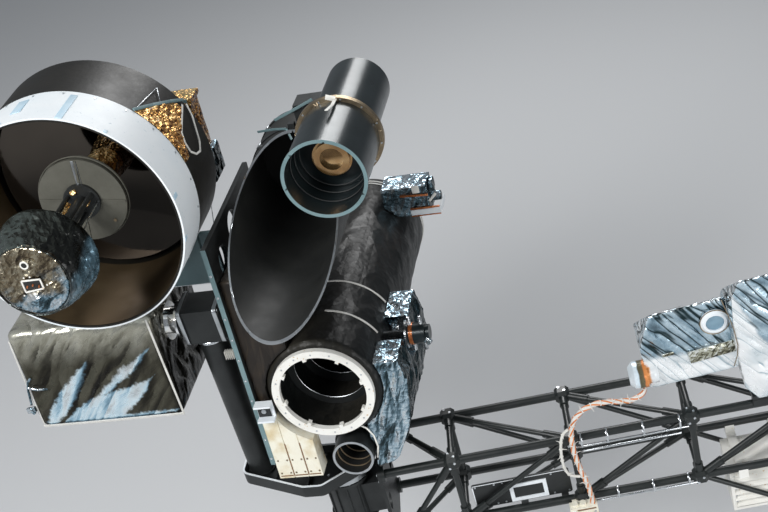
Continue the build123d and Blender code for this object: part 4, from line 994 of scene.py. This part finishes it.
blocks = [bar((scope_x - 24, 20, scope_z + 8), (scope_x - 20, -30, scope_z + 4), 15, 12),
    bar((scope_x + 22, 34, scope_z + 10), (scope_x + 24, 12, scope_z + 8), 12, 12),
    bar((scope_x - 18, 40, scope_z + 26), (scope_x - 4, 40, scope_z + 30), 10, 8)]
trim(blocks, "neck_blocks", gold_film, round_off=0.0015)
neck_rod = start("cylinder", vertices=12, radius=0.0018, depth=0.22,
    location=((scope_x + 44) / 1000, -0.062, (scope_z - 6) / 1000), rotation=(radians(90), 0, radians(4)))
smooth(seat(neck_rod, "neck_rod", bright_metal))
screws("neck_bolt", 0.0040, [((scope_x + x, 49, scope_z - 60), front) for x in (62, -62)], bronze)


# Secondary cap. A drum wrapped in dark film, its lower right painted pale blue as painted light, its front
# a crumpled disc of brown foil painted pale blue towards its lower right as painted light, sewn round its
# rim, with a white-edged port and a round eye.

dark_film = Finish("dark film", {"Metallic": 0.55, "Coat Weight": 0.3, "Coat Roughness": 0.15},
    "black_blanket")
fold = dark_film.facets(0.040, (0.2, 0.9, 0.1), (1, 1, 2))[0]
small_fold, small_tone = dark_film.facets(0.014, (1.3, 0.2, 0.5), (1, 1, 1.6))
drum = rests["platform"] @ Vector((scope_x / 1000, -0.23, scope_z / 1000))
sideways, _, height = dark_film.split()
# Painted light: the drum's lower right is painted in a pale blue lit copy of its film, the rest in a shaded
# copy.
lit = dark_film.step(0.82 * (sideways - drum.x) - 0.57 * (height - drum.z) + 0.03 * dark_film.grain(0.03, 4),
    0.080, 0.104)
crumpled = 0.75 * fold + 0.25 * small_fold
patches = dark_film.grain(0.06, 4)
shade = dark_film.film(crumpled, 0.008, 0.2, 1.0, patches, (0.004, 0.005, 0.004), (0.015, 0.017, 0.014),
    (0.036, 0.040, 0.034), (0.080, 0.100, 0.092))
blue = dark_film.film(crumpled, 0.008, 0.1, 1.0, patches, (0.10, 0.18, 0.23), (0.30, 0.47, 0.58),
    (0.62, 0.80, 0.90), (0.95, 0.99, 1.0))
dark_film.feed("Base Color", dark_film.mix(lit, shade, blue))
dark_film.feed("Roughness", 0.18 + 0.22 * small_tone)
foil = Finish("crumpled foil", {"Metallic": 0.9})
fold = foil.facets(0.045, (0.5, 0.3, 0.9), (1, 1, 1.5))[0]
small_fold, small_tone = foil.facets(0.010, (0.9, 0.4, 1.2))
sideways, _, height = foil.split()
# Painted light: the foil is painted in a pale blue lit copy towards its lower right, in umber above.
low = foil.step(height - 0.30 * (sideways - drum.x) + 0.16 * foil.grain(0.035, 4), 1.035, 1.085)
foil.feed("Roughness", 0.16 + 0.22 * small_tone)
crumpled = 0.85 * fold + 0.15 * small_fold
patches = foil.grain(0.08, 2)
blue = foil.film(crumpled, 0.0080, 0.1, 0.95, patches, (0.02, 0.04, 0.05), (0.18, 0.30, 0.38),
    (0.55, 0.70, 0.80), (0.94, 0.98, 1.0))
umber = foil.film(crumpled, 0.0080, 0.1, 0.95, patches, (0.03, 0.022, 0.014), (0.11, 0.086, 0.056),
    (0.27, 0.22, 0.145), (0.62, 0.56, 0.42))
foil.feed("Base Color", foil.mix(low, blue, umber))
cap = drape("secondary_cap", "cap_film", dark_film, grid=0.0028, depth=0.010, size=0.050,
    along=(0.3, 1, 0.2), stretch=1.8, seed=13.0, proud=0.3, sewn=0.015, bend=0.6)
cap.data.materials.append(foil.material)
for face in cap.data.polygons:
    spot = rests["platform"].inverted() @ face.center * 1000
    if spot.y < -283 and Vector((spot.x - scope_x, spot.z - scope_z)).length < 84:
        face.material_index = 1
smooth(seat(hoop(scope_x, -290.5, scope_z, 85.5, 1.8), "cap_seam", dark_film))
port = [(-464, -294, 576), (-421, -294, 576), (-420, -294, 553), (-463, -294, 548), (-464, -294, 576)]
trim(strip(port, 3.2, 3), "port_frame", ivory_paint)
trim([bar((-442, -292.5, 551), (-442, -292.5, 575), 39, 2)], "port_floor", hood_paint)
pins = [bar((x, -294.5, z), (x + 3, -294.5, z + 5), 3.2, 3.2)
    for x, z in ((-457, 558), (-443, 561), (-430, 557))]
trim(pins, "port_pins", orange_film)
eye_x, eye_z = -444.6, 612.5
smooth(seat(hoop(eye_x, -292.5, eye_z, 8.0, 2.1, 32), "cap_eye", ivory_paint))
pupil = start("cylinder", vertices=24, radius=0.0065, depth=0.0024,
    location=(eye_x / 1000, -0.2922, eye_z / 1000), rotation=(radians(90), 0, 0))
smooth(seat(pupil, "cap_pupil", hood_paint))
rivets = [((x, -293, z), front) for x, z in ((-456, 583), (-442, 583.5), (-470, 540), (-410, 560))]
screws("cap_rivets", 0.0019, rivets, ivory_paint)


# Electronics. A box in olive film with long slanting folds, its upper part painted silvery as painted
# light and crossed from its lower left by blue-white bands of painted glare; it is sewn at its edges
# with white tape, a blue ribbon hangs at its left, and an ivory finned block sits beside its shaft.

olive_film = Finish("olive film", {"Metallic": 0.75}, "olive_blanket")
fold = olive_film.facets(0.050, (0.1, 0.64, -0.16), (1, 1, 4))[0]
small_fold, small_tone = olive_film.facets(0.014, (0.3, 0.8, 0.2), (1, 1, 2))
folded = 0.30 * fold + 0.08 * small_fold + 0.5 * olive_film.folds(0.050, (0.0, 0.60, 0.0))
sideways, _, height = olive_film.split()
patches = olive_film.grain(0.05, 5)
rag = 0.026 * olive_film.grain(0.018, 5, 0.6) - 0.013
dim = olive_film.film(folded, 0.006, 0.0, 1.0, patches, (0.009, 0.008, 0.006), (0.026, 0.024, 0.017),
    (0.062, 0.058, 0.042), (0.15, 0.145, 0.11))
shine = olive_film.film(folded, 0.006, 0.0, 1.0, patches, (0.12, 0.115, 0.09), (0.30, 0.29, 0.23),
    (0.48, 0.47, 0.39), (0.68, 0.67, 0.58))
blue = olive_film.film(folded, 0.008, 0.0, 1.0, patches, (0.10, 0.19, 0.26), (0.34, 0.53, 0.66),
    (0.70, 0.86, 0.94), (0.95, 0.99, 1.0))


def streak(first, last, wide):
    """Mask of a ragged streak of painted glare, pointed at both ends, between two places of (x, z) in
    metres.
    """
    run = Vector(last) - Vector(first)
    step = run / run.length
    right = sideways - first[0]
    up = height - first[1]
    gone = (right * step.x + up * step.y) * (1 / run.length)
    away = olive_film.maths("ABSOLUTE", right * step.y - up * step.x)
    return olive_film.step(4 * wide * (gone * (1.0 - gone)) + rag - away, -0.005, 0.004)


# Painted glare: slanting blue-white bands rising from the box's lower left.
glare_streaks = 0.0
for first, last, wide in (
        ((-2.050, 0.372), (-1.876, 0.574), 0.019), ((-1.880, 0.468), (-1.712, 0.592), 0.009),
        ((-1.985, 0.380), (-1.766, 0.492), 0.032), ((-1.930, 0.372), (-1.726, 0.512), 0.024),
        ((-2.010, 0.378), (-1.850, 0.484), 0.014), ((-2.060, 0.381), (-1.690, 0.412), 0.010)):
    glare_streaks = olive_film.maths("MAXIMUM", glare_streaks, streak(first, last, wide))
# Painted light: the box's upper part is painted in a lighter silvery copy of its film.
lit = olive_film.step(height + 0.05 * patches, 0.585, 0.70)
olive_film.feed("Base Color", olive_film.mix(glare_streaks, olive_film.mix(lit, dim, shine), blue))
olive_film.feed("Roughness", 0.16 + 0.24 * small_tone)
drape("electronics_blanket", "electronics_film", olive_film, grid=0.0042, depth=0.018, size=0.060,
    along=(0.75, 0, 1), stretch=3.4, seed=17.0, proud=0.3, sewn=0.05)
edge = strip([(-373, 1, 262), (-366, -2, 120), (-361, 0, -20)], 5, 1.8, (0.7, -1, 0))
edge += strip([(-361, 1, -20), (-550, 0, -21), (-738, 1, -21)], 11, 1.8, (0, -1, -0.5))
edge += strip([(-736, 2, -16), (-739, 1, 110), (-738, 2, 240)], 6, 1.8, (-0.7, -1, 0))
trim(edge, "seam_tape", tape_white, slot="olive_blanket", round_off=0.0006)
ribbon = strip([(-718, -5, 132), (-731, -4, 118), (-737, -5, 96), (-741, -5, 70), (-745, -4, 50)], 6, 1.6,
    (0.3, -1, 0.1))
ribbon += strip([(-735, -5, 103), (-712, -8, 97), (-684, -6, 96)], 5, 1.6, (0, -1, 0.4))
ribbon += [bar((-762, -3, 34), (-738, -4, 38), 14, 8, (0.2, -1, 0.2)),
    bar((-756, -6, 44), (-742, -8, 26), 8, 5)]
trim(ribbon, "blue_ribbon", silver_film, slot="olive_blanket", round_off=0.0014)
fins = [bar((-232 + 5 * i, 60, 89), (-232 + 5 * i, 60, 112), 14, 1.6, (1, 0, 0)) for i in range(6)]
trim(fins, "finned_block", ivory_paint)


# Saddle and gold box. The saddle is black; behind the barrel stands a flat box in gold film with a
# teal bar along its top. A flap of the same film with a teal strip, a loop of ivory tape and a wire
# triangle are fixed to the barrel's right flank.

dress(dark_metal, "scope_saddle")
drape("gold_box", "box_film", gold_film, grid=0.0038, depth=0.011, size=0.040, along=(1, 0, 0.5),
    stretch=1.8, seed=19.0, sewn=0.025)
trim(strip([(-636, 251, 690), (-420, 249, 692), (-206, 251, 690)], 9, 4), "teal_bar", teal_paint,
    round_off=0.001)
flap_edge = [(46, 62), (40, 120), (34, 178), (31, 194), (27.8, 194), (25, 157), (21.9, 117), (17.5, 104),
    (12, 85)]
flap = start("grid", x_subdivisions=96, y_subdivisions=56, size=1.0)
for vertex in flap.data.vertices:
    gone = (vertex.co.x + 0.5) * (len(flap_edge) - 1)
    i = min(int(gone), len(flap_edge) - 2)
    angle, far = Vector(flap_edge[i]).lerp(Vector(flap_edge[i + 1]), gone - i)
    spot = on_barrel(angle, 57 + (far - 57) * (vertex.co.y + 0.5)) / 22
    height = 0.6 * noise.voronoi(spot, distance_metric="MANHATTAN")[0][0]
    height += 0.9 * abs(noise.noise(spot * 0.8))
    vertex.co = on_barrel(angle, spot.y * 22, 272.2 + 6 * height) / 1000
modify(flap, "SOLIDIFY", thickness=0.0008, offset=-1)
smooth(seat(flap, "box_flap", gold_film), 18)
flap_bar = strip([on_barrel(a, y, 277) for a, y in ((46.8, 58), (40.6, 118), (34.6, 176), (29.6, 222))],
    8, 4, (-0.8, 0, -0.6))
trim(flap_bar, "flap_bar", teal_paint, round_off=0.001)
loop = [on_barrel(a, y) for a, y in ((28.5, 206), (24.5, 152), (21.9, 119), (17.5, 104), (12.5, 104),
    (8.8, 124), (7.6, 149), (11, 170), (15.6, 184), (21.5, 208), (27, 222))]
trim(strip(loop, 5, 2, (-0.9, 0, -0.4)), "tape_loop", ivory_paint)
wires = strip([on_barrel(46, 75), on_barrel(43.1, 193), on_barrel(37.9, 146)], 1.8, 1.8, (-0.8, 0, -0.6))
trim(wires, "wire_triangle", bright_metal)


# Small box and wire. A little box in silver film hangs right of the barrel, and a thin bare wire
# runs down from it over the link plate.

drape("small_box", "small_film", silver_film, grid=0.0028, depth=0.008, size=0.035,
    along=(1, 0, -0.4), stretch=2.4, seed=23.0, sewn=0.02)
trim(strip([(-219, 246, 470), (-227, 244, 402), (-240, 246, 330)], 1.6, 1.6), "thin_wire", bright_metal)


# Window. A dark plate is fixed inside the front truss face, and a white painted frame holds a
# dark pane in it.

dress(dark_metal, "window_box")
dress(white_paint, "window_frame")
trim([bar((-940, -70.8, -55), (-862, -70.8, -55), 40, 2)], "window_pane", lens_glass, "boom")
edges = [bar((-1041, -72.6, -84), (-1041, -72.6, -14), 3, 1.2),
    bar((-1041, -72.6, -10), (-800, -72.6, -10), 2, 1)]
trim(edges, "window_edge", white_paint, "boom")
spots = [((x, -72, z), front) for x in (-1034, -985, -964, -838, -800) for z in (-81, -15)]
screws("window_screws", 0.0026, spots, satin_metal, "boom")


# Louvre box and struts. Ivory painted thermal louvres in a sheet metal box, screwed at its edges
# and hung below the boom on black struts.

dress(ivory_paint, "louver_box")
dress(black_paint, "louver_struts")
louver_screws = [((x, -60, -155 - 22 * i), front) for x in (-384, -191) for i in range(5)]
screws("louver_screws", 0.0028, louver_screws, satin_metal, "boom")


# Connector bracket. A cream painted sheet metal box below the boom, where the harness plugs in, with
# a white tag, two brown strips and screws.

dress(cream_paint, "connector_bracket")
trim([bar((-806, -132.6, -120), (-794, -132.6, -120), 40, 1.6)], "connector_tag", white_paint, "boom")
strips = [bar((-790, -132.6, z), (-742, -132.6, z), wide, 1.6) for z, wide in ((-100, 4), (-132, 3))]
trim(strips, "connector_strip", brown_tape, "boom")
connector_screws = [((x, -132, z), front) for x in (-786, -746) for z in (-112, -140)]
screws("connector_screws", 0.0030, connector_screws, satin_metal, "boom")


# Particle instrument. Two bodies lean on a wedge, wrapped in silver film with long slanting folds,
# painted near white low down as painted glare and darker along the folds as painted shade; a white ring
# frames a blue-grey aperture, and a banded knob takes the harness.

instrument_place = Matrix.Translation((-0.352, 0, 0.131)) @ Matrix.Rotation(radians(-4), 4, "Y")
on_instrument = {"body": "boom", "place": instrument_place}
dress(dark_metal, "instrument_base")
slanted_film = Finish("slanted silver film", {}, "silver_film")
fold = slanted_film.facets(0.040, (0.1, -0.64, 0.1), (1, 1, 5))[0]
small_fold, small_tone = slanted_film.facets(0.015, (0.3, -0.5, 0.3), (1, 1, 2.2))
creases = slanted_film.folds(0.024, (0.0, -0.60, 0.0), 11.0)
sideways, _, height = slanted_film.split()
patches = slanted_film.grain(0.07, 4)
# Painted glare: below a slanting line the film is painted near white, less metallic and flatter.
edge = 0.295 + slanted_film.step(sideways, -0.348, -0.338) * (0.165 - 2.3 * (sideways + 0.34))
lit = slanted_film.step(edge + 0.06 * patches - 0.03 - height, -0.012, 0.012)
relief = 0.12 * fold + 0.05 * small_fold + 0.5 * creases
folded = slanted_film.film(relief, 0.009, 0.0, 0.95, patches, (0.06, 0.10, 0.13), (0.30, 0.43, 0.52),
    (0.64, 0.78, 0.86), (0.94, 0.97, 0.98))
bright = slanted_film.film(relief * (1.0 - 0.6 * lit), 0.009, 0.0, 0.8, patches, (0.46, 0.54, 0.58),
    (0.76, 0.83, 0.86), (0.92, 0.95, 0.96), (0.97, 0.98, 0.98))
# Painted shade: the fold lines are painted darker.
folded = slanted_film.mix(slanted_film.step(creases, 0.02, 0.20), (0.020, 0.040, 0.045, 1), folded)
bright = slanted_film.mix(slanted_film.step(creases, 0.0, 0.12), (0.42, 0.52, 0.57, 1), bright)
slanted_film.feed("Base Color", slanted_film.mix(lit, folded, bright))
slanted_film.feed("Metallic", 0.9 - 0.45 * lit)
slanted_film.feed("Roughness", 0.12 + 0.22 * small_tone)
slant = (-0.75, 0, 1)
drape("instrument_head", "head_film", slanted_film, grid=0.0040, depth=0.014, size=0.060,
    along=slant, stretch=3.4, seed=29.0, proud=0.3, body="boom", turned=instrument_place)
drape("instrument_body", "body_film", slanted_film, grid=0.0036, depth=0.010, size=0.050,
    along=slant, stretch=3.0, seed=31.0, proud=0.3, sewn=0.03, body="boom", turned=instrument_place)
dress(white_paint, "aperture_ring")
blue_plate = Finish("blue plate", {"Metallic": 0.5})
blue_plate.colour(0.02, 3, (0.16, 0.28, 0.38), (0.34, 0.50, 0.60))
blue_plate.rough(0.3, 0.2, 0.01)
aperture_x, aperture_z = -12, 240
plate = start("cylinder", vertices=48, radius=0.0215, depth=0.0040,
    location=(aperture_x / 1000, -0.0745, aperture_z / 1000), rotation=(radians(90), 0, 0))
smooth(seat(plate, "aperture_plate", blue_plate, **on_instrument))
knob_bands = Finish("knob bands", {"Metallic": 0.3})
along = knob_bands.split()[0]
share = knob_bands.step(along + 0.006 * knob_bands.grain(0.02), -0.603, -0.529)
knob_bands.feed("Base Color", knob_bands.node("ShaderNodeValToRGB", {"stops": [(0.10, (0.80, 0.88, 0.93)),
    (0.30, (0.70, 0.82, 0.90)), (0.36, (0.10, 0.09, 0.05)), (0.56, (0.16, 0.13, 0.07)),
    (0.60, (0.72, 0.24, 0.07)), (0.84, (0.80, 0.36, 0.12)), (0.90, (0.84, 0.88, 0.90))]}, {0: share})[0])
knob_bands.rough(0.22, 0.2, 0.01)
knob_bands.bump(knob_bands.facets(0.012)[0], 0.0012, 0.7)
dress(knob_bands, "instrument_knob")
seam = strip([(12, -104, 322), (19, -107, 280), (25, -108, 230), (26, -108, 180), (20, -106, 150),
    (8, -96, 112)], 2.2, 2)
trim(seam, "body_seam", bronze, **on_instrument)
rim = hoop(aperture_x, -75.5, aperture_z, 35.0, 1.1)
smooth(seat(rim, "aperture_rim", bronze, **on_instrument))
mottled_film = Finish("mottled film", {"Metallic": 0.8}, "silver_film")
fold, tone = mottled_film.facets(0.012)
# Painted light and shade: the film's facets are painted lighter where they face the light.
mottled_film.feed("Base Color", mottled_film.film(fold, 0.003, 0.0, 0.9, mottled_film.grain(0.008, 5, 0.7),
    (0.06, 0.055, 0.03), (0.25, 0.24, 0.16), (0.55, 0.56, 0.46), (0.90, 0.93, 0.90)))
mottled_film.feed("Roughness", 0.25 + 0.2 * tone)
trim([bar((-89, -72.5, 150), (31, -72.5, 155), 36, 2.4)], "body_patch", mottled_film, **on_instrument,
    round_off=0.0008)
trim([bar((-150, -72.2, 176), (-122, -72.2, 176), 9, 2)], "body_slot", mottled_film, **on_instrument,
    round_off=0.0008)
